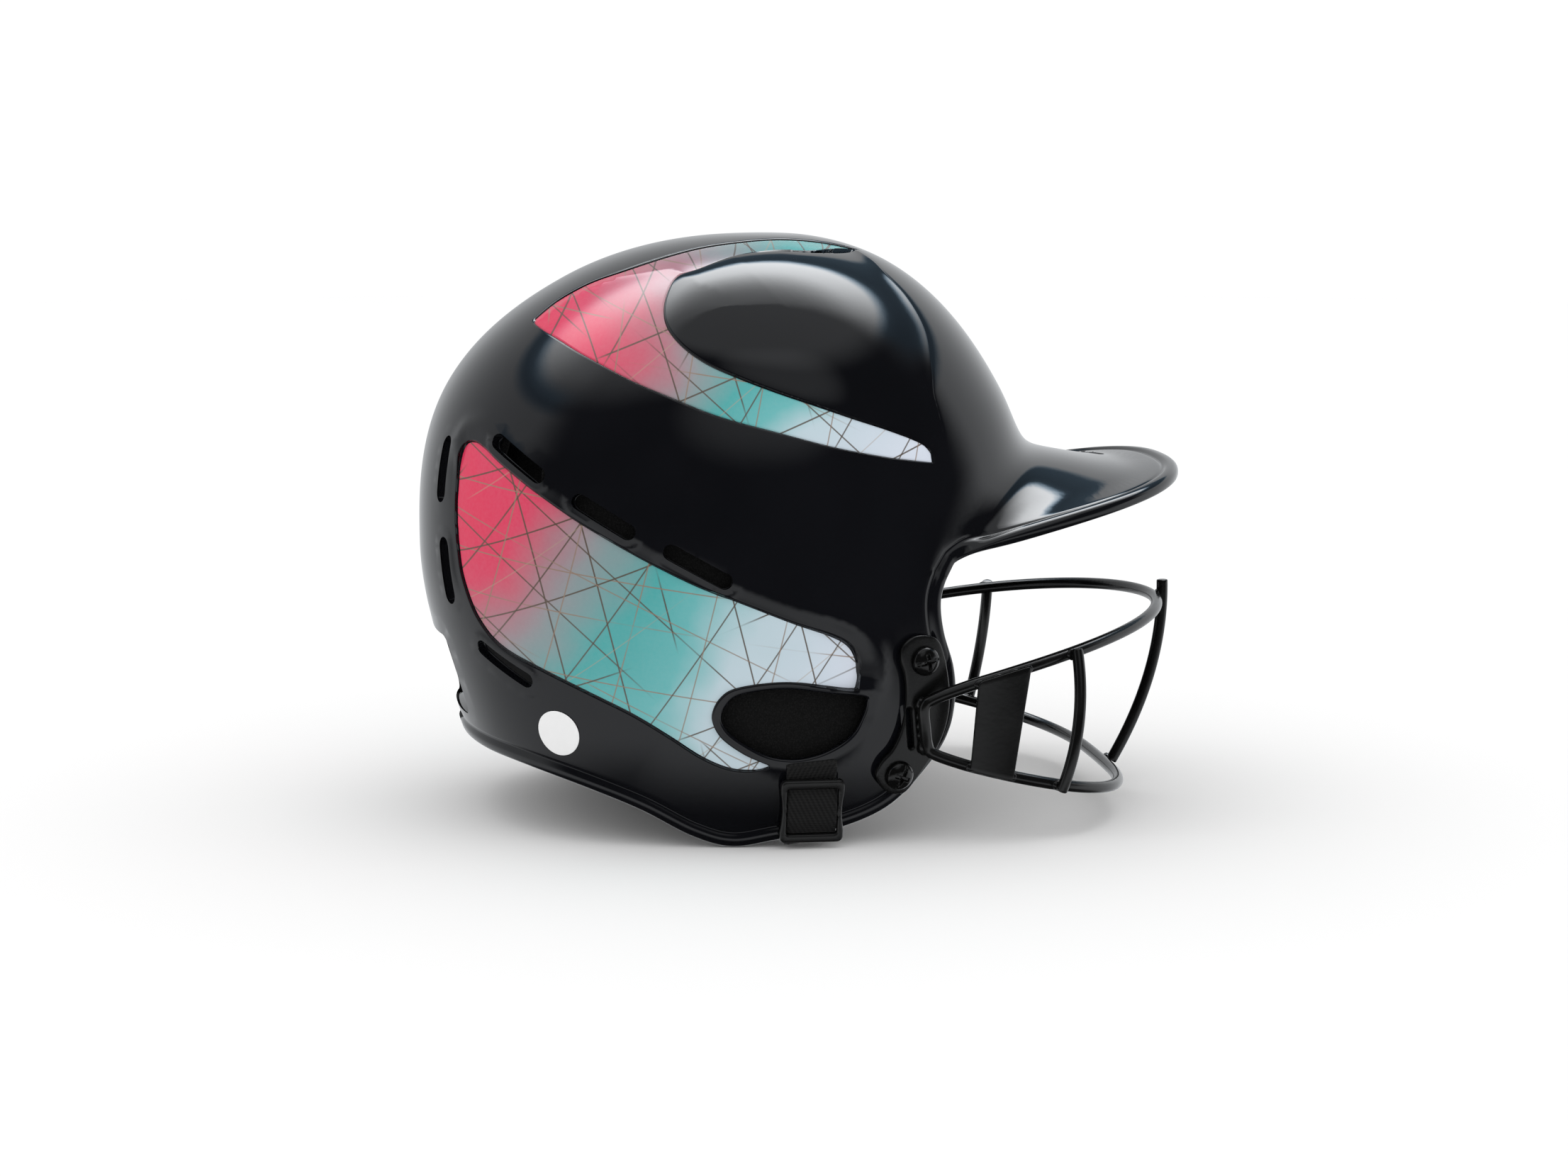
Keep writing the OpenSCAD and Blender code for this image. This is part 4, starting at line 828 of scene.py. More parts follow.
def relief(points, q):
    """Height over the plain surface and its slope, for surface points with flat places q."""
    high, slope = np.zeros(len(points)), np.zeros((len(points), 3))

    def lay(profile, dist, way, share=1.0):
        nonlocal high, slope
        high = high + share * profile(dist)
        slope = slope + (share * slope_of(profile, dist))[:, None] * way

    crown, crown_way = crown_line.signed(points, q, 40)
    lay(lambda x: -POCKET_DEEP * smooth((x + POCKET_START) / POCKET_WIDE), crown, crown_way)
    panel, panel_way = side_line.signed(points, q, 30)
    front = front_share(points)
    beside = 1 - smooth((ear_line.away(points, 14)[0] - 3) / 8)
    start, width = SIDE_START - 0.4 * beside, (SIDE_WIDE + FRONT_WIDER * front) * (1 - 0.68 * beside)
    lay(lambda x: -(POCKET_DEEP + FRONT_DEEPER * front) * smooth((x + start) / width), panel, panel_way)
    # the oval beside the crown swells up from the panel and dips at the forehead's crease
    within = inside(q, oval_line.ring[::3])
    d, way = crown_in.away(points, 70)
    c, c_way = forehead_line.away(points, 70)
    sign = np.where(within, 1.0, -1.0)
    soft = c * sign
    ramp = lambda x: (x + np.sqrt(x * x + 1.0)) / 2
    dip = lambda x: -CREASE_DEEP * ramp(x) * np.exp(-ramp(x) / CREASE_WIDE)
    lay(dip, np.where(np.abs(soft) < 60, soft, -60), c_way * sign[:, None], (soft > -6) * 1.0)
    swollen = lambda x: OVAL_HIGH * (1 - np.exp(-x / OVAL_WIDE))
    lay(swollen, d, way, np.where(within, 1 - np.exp(-c / OVAL_FADE), 0.0))
    # rounded border round the front end and the lower edge of the side panel
    lay(hill(BORDER_HIGH, BORDER_AT, BORDER_WIDE), panel, panel_way, np.where(panel < 0, front, 0.0))
    # rounded ridge that carries the vents
    u, u_way = vent_ridge.away(points, 30)
    carried = np.where((panel < 0) & (u < 29), smooth((q[:, 1] + 75) / 30), 0.0)
    lay(hill(RIDGE_HIGH, RIDGE_AT, RIDGE_WIDE), u, u_way, carried)
    for line, rise in zip(HOLES, HOLE_RISES):
        lay(hill(*rise), *line.away(points, 14))
    return high, slope


def offset_rows(line, step, offsets):
    """Rows of points beside a line, at the offsets to its left side."""
    p = dome(towards(even(line.fine, step, line.closed)))
    side = unit(np.cross(dome_normal(towards(p)), heading(p, line.closed)))
    return [dome(towards(p + side * o)) for o in offsets]


BAND_STEP, OUTER_FILL, INNER_FILL = 1.3, 2.6, 5.0


def skin(fill, lines):
    """The right half's skin: plain points and normals, flat places, triangles, hole rings and rim row."""
    places, normals, flats, edges = [], [], [], []

    def add(points, normal, q, chain=None):
        first = sum(map(len, places))
        index = np.arange(first, first + len(points))
        places.append(points), normals.append(normal), flats.append(q)
        if chain:
            edges.extend(chained(index, chain == "ring"))
        return index

    def column_normals(v, column, points):
        """Normals of points taken from one column of the bill."""
        at = [np.argmin(((column - p) ** 2).sum(1)) for p in points]
        return bill_normal(np.full(len(points), v), np.clip(s[at], 0.002, 0.998))

    rim = add(rim_first, rim_first_normal, flat_of(rim_first), "line")
    # the middle: up the bill, over the crown and down to the nape
    s = np.linspace(0, 1, 400)
    up = bill_point(0.0, s)
    keep = np.linalg.norm(up - edge[0], axis=1) > RIM_OUTER[0][0] + fill * 0.7
    run = even(up[keep][::-1], fill)
    arc = np.radians(np.linspace(BELT_FRONT, 240, 2000))[1:]
    over = dome(np.stack([np.cos(arc), 0 * arc, np.sin(arc)], -1))
    stop = int(np.argmin(((over - rim_first[-1]) ** 2).sum(1)))
    over = even(over[: stop - int(12 * fill)], fill)[1:]
    d = towards(over)
    mid = np.concatenate([run, over])
    mid_n = np.concatenate([column_normals(0.0, up, run), dome_normal(d)])
    mid[:, 1] = mid_n[:, 1] = 0
    middle = add(mid, unit(mid_n), np.concatenate([flat_of(run), flat(d)]), "line")
    edges.extend([(int(rim[0]), int(middle[0])), (int(middle[-1]), int(rim[-1]))])
    border = np.concatenate([flats[0], flats[1][::-1]])
    # bands beside the feature lines
    rings = []
    for line, offsets in lines:
        for offset, row in zip(offsets, offset_rows(line, BAND_STEP, offsets)):
            d = towards(row)
            if line is port_line:
                half = d[:, 1] <= 1e-4
                first = int(np.flatnonzero(half & ~np.roll(half, 1))[0])
                d = d[(first + np.arange(half.sum())) % len(row)]
                d[[0, -1], 1] = 0
                d = unit(d)
                row = dome(d)
            q, n = flat(d), dome_normal(d)
            ok = np.ones(len(row), bool)
            if offset:
                for other, _ in lines:
                    if other is not line:
                        ok &= other.away(row, 8)[0] > min(abs(offset) + 0.35, 1.6)
                if line is not port_line:
                    ok &= inside(q, border)
            if ok.all():
                index = add(row, n, q, "ring" if line.closed and line is not port_line else "line")
                if not offset and line in HOLES:
                    rings.append((line, index))
                continue
            kept = np.flatnonzero(ok)
            for part in np.split(kept, np.flatnonzero(np.diff(kept) > 1) + 1):
                if len(part):
                    add(row[part], n[part], q[part], "line")
    # the bill and the open ground
    for v in np.linspace(0, 1, max(8, int(105 / fill)))[1:-1]:
        column = bill_point(v, s)
        close = nearest(column, rim_first[: BILL_PART + 30]) < fill * 0.7
        stop = np.argmax(close) if close.any() else len(s) - 1
        if stop >= 4 and np.linalg.norm(column[stop] - column[0]) > 2 * fill:
            p = even(column[: stop + 1], fill)[1:-1]
            add(p, column_normals(v, column, p), flat_of(p))
    q = staggered((-190, -190), (240, 190), fill)
    q = q[np.hypot(q[:, 0], q[:, 1]) < FLAT * math.pi / 2 - fill * 0.6]
    q = q[inside(q, border)]
    d = unflat(q)
    az, el = np.degrees(np.arctan2(-d[:, 1], d[:, 0])), np.degrees(np.arcsin(d[:, 2]))
    ok = (az > BILL_SPAN + 1.0) | (el > belt_at(np.clip(az / BILL_SPAN, 0, 1)) + 0.6)
    ok &= nearest(q, np.concatenate(flats[:2])) > fill * 0.6
    p = dome(d)
    for line, offsets in lines:
        ok &= line.away(p, 10)[0] > max(map(abs, offsets)) + fill * 0.45
    add(p[ok], dome_normal(d[ok]), q[ok])
    places, normals, flats = map(np.concatenate, (places, normals, flats))
    spots, tris, origin, back = split(flats, edges)
    old, d = origin >= 0, unflat(spots)
    full, full_n = dome(d), dome_normal(d)
    full[old], full_n[old] = places[origin[old]], normals[origin[old]]
    middles = spots[tris].mean(1)
    keep = inside(middles, border)
    for line in HOLES:
        keep &= ~inside(middles, line.ring[::2])
    tris = each_facing(full, tris[keep], full_n)
    return full, full_n, spots, tris, [(line, back[index]) for line, index in rings], back[rim]


def strip_normals(rows, wrap, way):
    """Normals of a net of rows, by its own slopes; its fourth row looks along way."""
    along = (np.roll(rows, -1, 1) - np.roll(rows, 1, 1)) / 2 if wrap else np.gradient(rows, axis=1)
    norms = unit(np.cross(along, np.gradient(rows, axis=0)))
    return norms if (norms[3] * way).sum() >= 0 else -norms


# rows of points beside the outlines, by their distance
BANDS = (-4.2, -2.9, -2.1, -1.5, -1.0, -0.6, -0.25, 0, 0.25, 0.6, 1.0, 1.5, 2.1, 2.9, 4.2)
NARROW = (-2.6, -1.7, -1.1, -0.5, 0, 0.5, 1.1, 1.7, 2.6)
EAR_BANDS, VENT_BANDS = (0, -0.5, -1.1, -1.9, -2.8, -4.0), (0, -0.5, -1.1, -1.9, -2.9)
PORT_BANDS = (0, -0.6, -1.4, -2.4, -3.6, -5)
LIP, VENT_LIP, LIP_DEEP, LIP_TURN = 1.0, 0.7, 1.25, np.radians([20, 40, 60, 78, 90])
CALM = 5
EASE, EASED = 1.0, ((1, -1, 111.2), (2, 1, 237.0))


def build_shell():
    """Outer and inner skins, hole lips and the rim, as one closed mesh of two mirrored halves."""
    points, normals, quads = [], [], []

    def add(p, n):
        first = sum(map(len, points))
        points.append(p), normals.append(n)
        return np.arange(first, first + len(p))

    def strip(rows, wrap):
        """Quads between rows of point numbers."""
        p, n = np.concatenate(points), np.concatenate(normals)
        for a, b in zip(rows, rows[1:]):
            faces = np.stack([a, b, np.roll(b, -1), np.roll(a, -1)], 1)[: len(a) if wrap else -1]
            quads.append(facing(p, faces, n[faces[:, 1]]))

    vents = [(v, VENT_BANDS) for v in vent_lines]
    lines = [(ear_line, EAR_BANDS), *vents, (port_line, PORT_BANDS),
             (crown_line, BANDS), (side_line, BANDS), (forehead_line, NARROW)]
    full, n, q, tris, rings, rim = skin(OUTER_FILL, lines)
    high, slope = relief(full, q)
    calm = smooth(nearest(full, rim_first[::2]) / CALM)
    outer = full + n * (high * calm)[:, None]
    # the relief eases off at the widest and highest places, so the shell keeps its size
    for axis, way, start in EASED:
        past = np.maximum(way * outer[:, axis] - start, 0)
        outer[:, axis] -= way * (past - EASE * (1 - np.exp(-past / EASE)))
    first = add(outer, unit(n - slope * calm[:, None]))
    inner_lines = [(ear_line, (0, -2.5)), *[(v, (0, -2)) for v in vent_lines], (port_line, (0, -2.5))]
    full, n, _, inner_tris, inner_rings, inner_rim = skin(INNER_FILL, inner_lines)
    inner = full - n * WALL
    second = add(inner, -n)
    for (line, ring), (_, inner_ring) in zip(rings, inner_rings):
        wrap = line is not port_line
        p, last = outer[ring], inner[inner_ring]
        base = dome_normal(towards(p))
        inward = unit(np.cross(base, heading(p, wrap)))
        if not wrap:
            inward[[0, -1], 1] = 0
        size = VENT_LIP if line in vent_lines else LIP
        rows = [p + inward * (size * math.sin(t)) - base * (size * LIP_DEEP * (1 - math.cos(t))) for t in LIP_TURN]
        rows += [rows[-1] * (1 - k) + (last + inward * size * 0.4) * k for k in (0.35, 0.75)]
        norms = strip_normals(np.stack([p, *rows, last]), wrap, inward)
        strip([first[ring], *map(add, rows, norms[1:-1]), second[inner_ring]], wrap)
    rows = np.stack(rim_rows)
    norms = strip_normals(rows, False, edge_normal)
    norms[:, [0, -1], 1] = 0
    strip([first[rim], *map(add, rows[1:-1], unit(norms)[1:-1]), second[inner_rim]], False)
    # both halves, sharing the points of the middle
    points, normals, quads = map(np.concatenate, (points, normals, quads))
    tris = np.concatenate([first[tris], second[inner_tris][:, ::-1]])
    aside = np.abs(points[:, 1]) >= 1e-6
    other = np.arange(len(points))
    other[aside] = len(points) + np.arange(aside.sum())
    points, normals = (np.concatenate([v, mirrored(v[aside])]) for v in (points, normals))
    faces = [np.concatenate([f, other[f][:, ::-1]]) for f in (tris, quads)]
    within = np.arange(len(tris)) >= len(tris) - len(inner_tris)
    which = np.concatenate([within, within, np.zeros(2 * len(quads), bool)])
    fit(make("shell_moulding", points, faces, (SHELL, INSIDE), which, normals), "shell", "shell")


build_shell()

# Printed inlays
PRINT_STEP, PRINT_FILL, PRINT_ROWS = 1.2, 2.6, (0.25, 0.45, 0.8, 1.4, 2.2)
PRINT_TOP, PRINT_THICK, PRINT_ROUND = -0.72, 0.55, 0.28
FOLD_HIGH, FOLD_WIDE = 0.55, 2.6


def inlay(name, line, top, node):
    """A thin plate inside a closed line, its upper edge rounded, laid on its pocket's floor."""
    rows = offset_rows(line, PRINT_STEP, PRINT_ROWS)
    border, ring = flat(towards(rows[0])), np.arange(len(rows[0]))
    q = staggered(border.min(0), border.max(0), PRINT_FILL, 2.25 / PRINT_FILL)
    p = dome(unflat(q[inside(q, border)]))
    clear = [row[line.away(row, 5)[0] > gap - 0.12] for row, gap in zip(rows[1:], PRINT_ROWS[1:])]
    p = np.concatenate([rows[0], *clear, p[line.away(p, 5)[0] > 3.2]])
    spots, tris, origin, back = split(flat(towards(p)), chained(ring, True))
    full = dome(unflat(spots))
    full[origin >= 0] = p[origin[origin >= 0]]
    n = dome_normal(towards(full))
    tris = each_facing(full, tris[inside(spots[tris].mean(1), border)], n)
    dist, way = line.away(full, 30)
    height, slope = top(full)
    rounded = lambda x: -PRINT_ROUND * (1 - smooth(x - 0.2))
    height, slope = height + rounded(dist), slope + slope_of(rounded, dist)[:, None] * way
    points = np.concatenate([full + n * height[:, None], full + n * (height - PRINT_THICK)[:, None]])
    wall = walls(back[ring], len(full))
    wall = facing(points, wall, points[wall[:, 0]] - points.mean(0))
    faces = [np.concatenate([tris, tris[:, ::-1] + len(full)]), wall]
    both_hands(points, faces, "panel", PANEL, name, node, normals=np.concatenate([unit(n - slope), -n]))


def crown_top(points):
    d, way = crown_fold.away(points, 12)
    lift = lambda x: FOLD_HIGH * np.exp(-np.sqrt(x * x + 0.2) / FOLD_WIDE)
    return PRINT_TOP + lift(d), slope_of(lift, d)[:, None] * way


def side_top(points):
    return PRINT_TOP - FRONT_DEEPER * front_share(points), np.zeros((len(points), 3))


inlay("crown_print", crown_line, crown_top, "crown_panel")
inlay("side_print", side_line, side_top, "side_panel")


# Plates cut from an outline, with rounded edges
def cast(outline, windows, thick, round_top, round_low, fill, step):
    """Plate with its windows cut out, as (flat points, heights, triangles and wall quads)."""
    rings = [even(r, step, True) for r in (outline, *windows)]
    starts = np.cumsum([0] + [len(r) for r in rings])
    marks = [np.arange(a, b) for a, b in zip(starts, starts[1:])]

    def gap(points):
        """Distance to the closest ring."""
        best = np.full(len(points), 1e9)
        for ring in rings:
            run = np.roll(ring, -1, 0) - ring
            t = np.clip(((points[:, None] - ring) * run).sum(2) / np.maximum((run**2).sum(1), 1e-12), 0, 1)
            off = points[:, None] - ring - run * t[..., None]
            best = np.minimum(best, np.sqrt((off**2).sum(2)).min(1))
        return best

    def within(points):
        """Which points lie on the plate."""
        ok = inside(points, rings[0])
        for window in rings[1:]:
            ok &= ~inside(points, window)
        return ok

    places = list(rings)
    for share in (0.1, 0.3, 0.6, 1.0):
        for ring in rings:
            run = heading(ring, True)
            side = np.c_[-run[:, 1], run[:, 0]] * round_top * share
            for row in (ring + side, ring - side):
                places.append(row[within(row) & (gap(row) > round_top * share * 0.93)])
    q = staggered(rings[0].min(0), rings[0].max(0), fill)
    q = q[gap(q) > round_top + fill * 0.4]
    places.append(q[within(q)])
    spots, tris, _, back = split(np.concatenate(places), [e for index in marks for e in chained(index, True)])
    m = len(spots)
    tris = tris[within(spots[tris].mean(1))]
    tris = each_facing(np.c_[spots, np.zeros(m)], tris, np.tile([0.0, 0, 1], (m, 1)))
    d = gap(spots)
    arc = lambda r: r - np.sqrt(np.maximum(r * r - (r - np.minimum(d, r)) ** 2, 0))
    sides = []
    for k, (ring, index) in enumerate(zip(rings, marks)):
        area = (ring * np.roll(np.roll(ring, -1, 0), 1, 1) * [1, -1]).sum()
        wall = walls(back[index], m)
        sides.append(wall[:, ::-1] if (area > 0) == (k == 0) else wall)
    faces = [np.concatenate([tris, tris[:, ::-1] + m]), np.concatenate(sides)]
    return np.concatenate([spots, spots]), np.r_[thick - arc(round_top), arc(round_low)], faces


def plate_facing(points, faces, way):
    """A cast plate's faces, with its upper side along way."""
    upper = faces[0][: len(faces[0]) // 2]
    return faces if looks(points, upper, way) else [f[:, ::-1] for f in faces]


def rounded_box(w, h, r, n=8):
    out = []
    for k, (sx, sy) in enumerate(((1, 1), (-1, 1), (-1, -1), (1, -1))):
        a = np.linspace(0, math.pi / 2, n) + k * math.pi / 2
        out.append(np.c_[sx * (w / 2 - r) + r * np.cos(a), sy * (h / 2 - r) + r * np.sin(a)])
    return np.concatenate(out)


def seated(at, out, local):
    """Local points set on a surface: their third axis points out, their first one forwards."""
    n = unit(np.asarray(out, float))
    a = unit(np.array([1.0, 0, 0]) - n * n[0])
    return np.asarray(at, float) + local @ np.stack([a, np.cross(n, a), n])


# Face guard
WIRE, WIRE_SIDES, WELD_GAP = 2.4, 22, 0.1
TOP_REACH, TOP_HEIGHT, TOP_ROUND, TOP_RISE = 150.5, 83.0, 1.95, 0.75
LOW_REACH, LOW_HEIGHT, LOW_ROUND, LOW_RISE = 129.0, 12.4, 3.0, 0.8
MOUNT_LIFT, MOUNT_THICK = 1.5, 2.0
LEG_AT = np.array([[66.3, -51.9], [67, -62], [68.3, -71.4]])
HOOP_BEND, HOOP_STEP = 0.09, 0.02
BAR_BOW, BAR_POINTS = 6, 60
CENTRE_ENDS, SIDE_ENDS, SIDE_BAR_AT = (6.5, 1.2), (2.2, 2), (0.355, 0.39)
PLATE_SPAN, PLATE_COLS, PLATE_OVER = (0.115, 0.238), 30, 1.5
BAR_WELD, END_WELD, RUN_WELD, LEG_WELD = (3.3, 2.3, 1.25), (2.4, 1.9, 1.0), (3.2, 1.8, 0.9), (2.7, 2.6, 0.9)
leg = raised(by_side(LEG_AT), MOUNT_LIFT + MOUNT_THICK + WELD_GAP + 0.2 + WIRE)


def hoop(start, reach, height, roundness, rise, t):
    t = np.asarray(t, float)
    x = start[0] + (reach - start[0]) * np.sin(t * math.pi / 2)
    k = (x - start[0]) / (reach - start[0])
    y = start[1] * np.clip(1 - k**roundness, 0, None) ** (1 / roundness)
    return np.stack([x, np.where(t < 1, y, 0), start[2] + (height - start[2]) * k**rise], -1)


def top_hoop(t):
    return hoop(leg[0], TOP_REACH, TOP_HEIGHT, TOP_ROUND, TOP_RISE, t)


def low_hoop(t):
    return hoop(leg[-1], LOW_REACH, LOW_HEIGHT, LOW_ROUND, LOW_RISE, t)


def level_out(run, t):
    a = run(min(t + HOOP_STEP, 1.0)) - run(t - HOOP_STEP)
    return unit(np.array([a[1], -a[0], 0.0]))


def tube(path, closed=False):
    """Round wire along a path; an open one has square ends with a broken edge."""
    radius = np.full(len(path), WIRE)
    run = heading(path, closed)
    if not closed:
        a, b = unit(path[1] - path[0]), unit(path[-1] - path[-2])
        ends = np.array([[0], [0], [0.12], [0.5]])
        path = np.concatenate([path[0] + a * ends, path[1:-1], path[-1] - b * ends[::-1]])
        cut = np.array([1e-3, WIRE - 0.5, WIRE - 0.14, WIRE])
        radius = np.concatenate([cut, radius[1:-1], cut[::-1]])
        run = heading(path, closed)
        run[:4], run[-4:] = a, b
    u = np.empty_like(path)
    u[0] = unit(np.cross(run[0], [0.3, 0.2, 0.9]))
    for i in range(1, len(path)):
        u[i] = unit(u[i - 1] - run[i] * (u[i - 1] @ run[i]))
    v = np.cross(run, u)
    turn = np.tile(circle(WIRE_SIDES), (len(path), 1))
    if closed:
        w = u[-1] - run[0] * (u[-1] @ run[0])
        twist = math.atan2(w @ v[0], w @ u[0])
        turn = turn - twist * (np.arange(len(path)) / len(path))[:, None]
    out = np.cos(turn)[..., None] * u[:, None] + np.sin(turn)[..., None] * v[:, None]
    rings = path[:, None] + radius[:, None, None] * out
    return rings.reshape(-1, 3), [grid_quads(len(path), WIRE_SIDES, closed, True)]


def blob(at, axes, sizes, seed):
    """A small lump of weld."""
    rows, cols = 11, 18
    up, turn = np.meshgrid(np.linspace(0.02, math.pi - 0.02, rows), circle(cols), indexing="ij")
    p = np.stack([np.sin(up) * np.cos(turn), np.sin(up) * np.sin(turn), np.cos(up)], -1).reshape(-1, 3)
    x, y, z = p.T
    wobble = 1 + 0.07 * np.sin(3.1 * x + seed) * np.cos(2.7 * y + 1.7 * seed) + 0.05 * np.sin(5 * z + 2.3 * seed)
    return at + p * wobble[:, None] * sizes @ np.asarray(axes), [grid_quads(rows, cols, False, True)]


def build_guard():
    steps = np.linspace(1, HOOP_BEND, 15)
    half = [*top_hoop(steps), leg[0] + 0.35 * (top_hoop(HOOP_BEND / 2) - leg[0]), leg[0] + [0, 0, -2], leg[1],
            leg[2] + [0, 0, 2], leg[2] + 0.35 * (low_hoop(HOOP_BEND / 2) - leg[2]), *low_hoop(steps[::-1])]
    loop = np.array(half + [mirrored(p) for p in half[-2:0:-1]])
    fit(make("guard_wire", *tube(smooth_loop(loop, 1.6), True), GUARD), "guard", "guard_hoop")
    weld_step = 2 * WIRE + WELD_GAP
    lumps = []

    def bar(top, low, out_a, out_b, stub, foot):
        """A bowed bar outside both runs, with its two welds."""
        out, span = unit(out_a + out_b), np.linalg.norm(top - low)
        whole = span + stub + foot
        share_a, share_b = stub / whole, 1 - foot / whole
        rise = lambda k: 4 * BAR_BOW * k * (1 - k)

        def step(k):
            lean = (low - top) @ out / span + 4 * BAR_BOW * (1 - 2 * k) / whole
            return weld_step * math.sqrt(1 + lean * lean)

        a = top + step(share_a) * out_a - rise(share_a) * out
        b = low + step(share_b) * out_b - rise(share_b) * out
        axis = unit(b - a)
        start, end = a - stub * axis, b + foot * axis
        for spot, way in ((top, out_a), (low, out_b)):
            axes = (unit(np.cross(axis, way)), axis, way)
            lumps.append(blob(spot + way * weld_step / 2, axes, BAR_WELD, 1.3 + len(lumps)))
        k = np.linspace(0, 1, BAR_POINTS)[:, None]
        return tube(start + (end - start) * k + rise(k) * out)

    ahead, (high_t, low_t) = np.array([1.0, 0, 0]), SIDE_BAR_AT
    centre = bar(top_hoop(1.0), low_hoop(1.0), ahead, ahead, *CENTRE_ENDS)
    fit(make("guard_centre_bar", *centre, GUARD), "guard", "centre_bar")
    fit(make("guard_weld_middle", *joined(lumps), GUARD), "guard")
    outs = level_out(top_hoop, high_t), level_out(low_hoop, low_t)
    both_hands(*bar(top_hoop(high_t), low_hoop(low_t), *outs, *SIDE_ENDS), "guard", GUARD, "guard_side_bar", "side_bar")
    right = lumps[2:]
    # plates welded over the outside of both runs
    ts, mid = np.linspace(*PLATE_SPAN, PLATE_COLS), PLATE_COLS // 2
    tops, lows = top_hoop(ts), low_hoop(ts)
    outs_a, outs_b = (np.array([level_out(run, t) for t in ts]) for run in (top_hoop, low_hoop))
    wide = np.linalg.norm(np.diff((tops + lows) / 2, axis=0), axis=1).sum()
    tall = np.linalg.norm(tops[mid] - lows[mid]) + 2 * PLATE_OVER

    def on_plate(q, lift):
        i = np.clip(q[:, 0] / wide + 0.5, 0, 1)
        k = np.clip(0.5 - q[:, 1] / tall, 0, 1)[:, None]
        cols = np.linspace(0, 1, PLATE_COLS)
        a, b, out_a, out_b = (np.stack([np.interp(i, cols, rows[:, c]) for c in range(3)], 1)
                              for rows in (tops, lows, outs_a, outs_b))
        over = PLATE_OVER * unit(a - b)
        out = unit(out_a * (1 - k) + out_b * k)
        return (a + over) * (1 - k) + (b - over) * k + (WIRE + WELD_GAP + lift)[:, None] * out

    q, h, faces = cast(rounded_box(wide, tall, 1.6), [], 1.6, 0.55, 0.3, 2.4, 1.0)
    p = on_plate(q, h)
    both_hands(p, plate_facing(p, faces, outs_a[mid]), "guard", GUARD, "guard_side_plate", "side_plate")
    normal, down = dome_normal(by_side(LEG_AT)), unit(leg[2] - leg[0])

    def leg_weld(i, spot, sizes, seed):
        right.append(blob(spot, (unit(np.cross(down, normal[i])), down, normal[i]), sizes, seed))

    leg_weld(0, leg[0] + down * 1.0 - normal[0] * 1.6, (2.9, 3.4, 2.6), 4.1)
    leg_weld(2, leg[2] - down * 1.5 - normal[2] * 1.6, (2.9, 3.6, 2.6), 6.1)
    for k in np.linspace(0.12, 0.88, 5):
        leg_weld(1, leg[0] + (leg[2] - leg[0]) * k - normal[1] * (WIRE - 0.2), LEG_WELD, 2.2 + 3 * k)
    for t, sizes, seed in ((ts[1], END_WELD, 150), (ts[-2], END_WELD, 150), (0.16, RUN_WELD, 70), (0.2, RUN_WELD, 70)):
        for run in (top_hoop, low_hoop):
            out, along = level_out(run, t), unit(run(t + HOOP_STEP) - run(t - HOOP_STEP))
            right.append(blob(run(t) + out * (WIRE - 0.1), (along, np.cross(out, along), out), sizes, seed * t))
    both_hands(*joined(right), "guard", GUARD, "guard_weld", None)


build_guard()

# Mount plates and their screws
MOUNT_REAR = [
    [64, -25.5], [59, -29], [58.2, -34.5], [60.2, -42], [60.7, -50], [60.2, -57], [58.6, -64], [55.5, -70.5],
    [51, -75.5], [49, -81], [51.5, -86], [55.5, -88.8]]
MOUNT_FRONT = [
    [71, -26], [74.5, -29], [76.5, -34.5], [78.2, -42], [79.2, -50], [79, -57.5], [77.3, -65], [74, -72.5],
    [69.5, -79], [65.5, -84.5], [62.5, -88.2], [60, -89.5]]
WINDOW_BACK, WINDOW_HALF, WINDOW_ROUND = 4.6, 7.2, 1.25
SCREW_AT, SCREW_TURN = [[67.9, -35.6], [58.3, -81.2]], (10, 65)
HEAD_ROUND, HEAD_TALL, HEAD_EDGE = 5.9, 3.5, 0.55
CROSS_LONG, CROSS_HALF, SLOT_LONG, SLOT_HALF, SLOT_DEEP = 3.3, 0.72, 5.0, 0.5, 0.55
SHANK = ((2.4, 3.9), (2.4, -0.5), (2.4, -8.2), (1.92, -8.6))  # radius and height of its rings


def build_mounts():
    outline = smooth_loop(MOUNT_REAR + MOUNT_FRONT[::-1], 0.8)
    run = unit(LEG_AT[2] - LEG_AT[0])
    side = np.array([run[1], -run[0]])
    mid, end = LEG_AT[1] + side * WINDOW_BACK, run * WINDOW_HALF
    turn = np.linspace(0, math.pi, 10)[:, None]
    arc = WINDOW_ROUND * (np.sin(turn) * run - np.cos(turn) * side)
    window = np.concatenate([mid + end + arc, mid - end - arc])
    q, h, faces = cast(outline, [window], MOUNT_THICK, 0.9, 0.3, 1.6, 0.8)
    p = raised(by_side(q), MOUNT_LIFT + h)
    both_hands(p, plate_facing(p, faces, [0, -1, 0]), "guard", PLATE, "mount_plate_cover", "mount_plate")


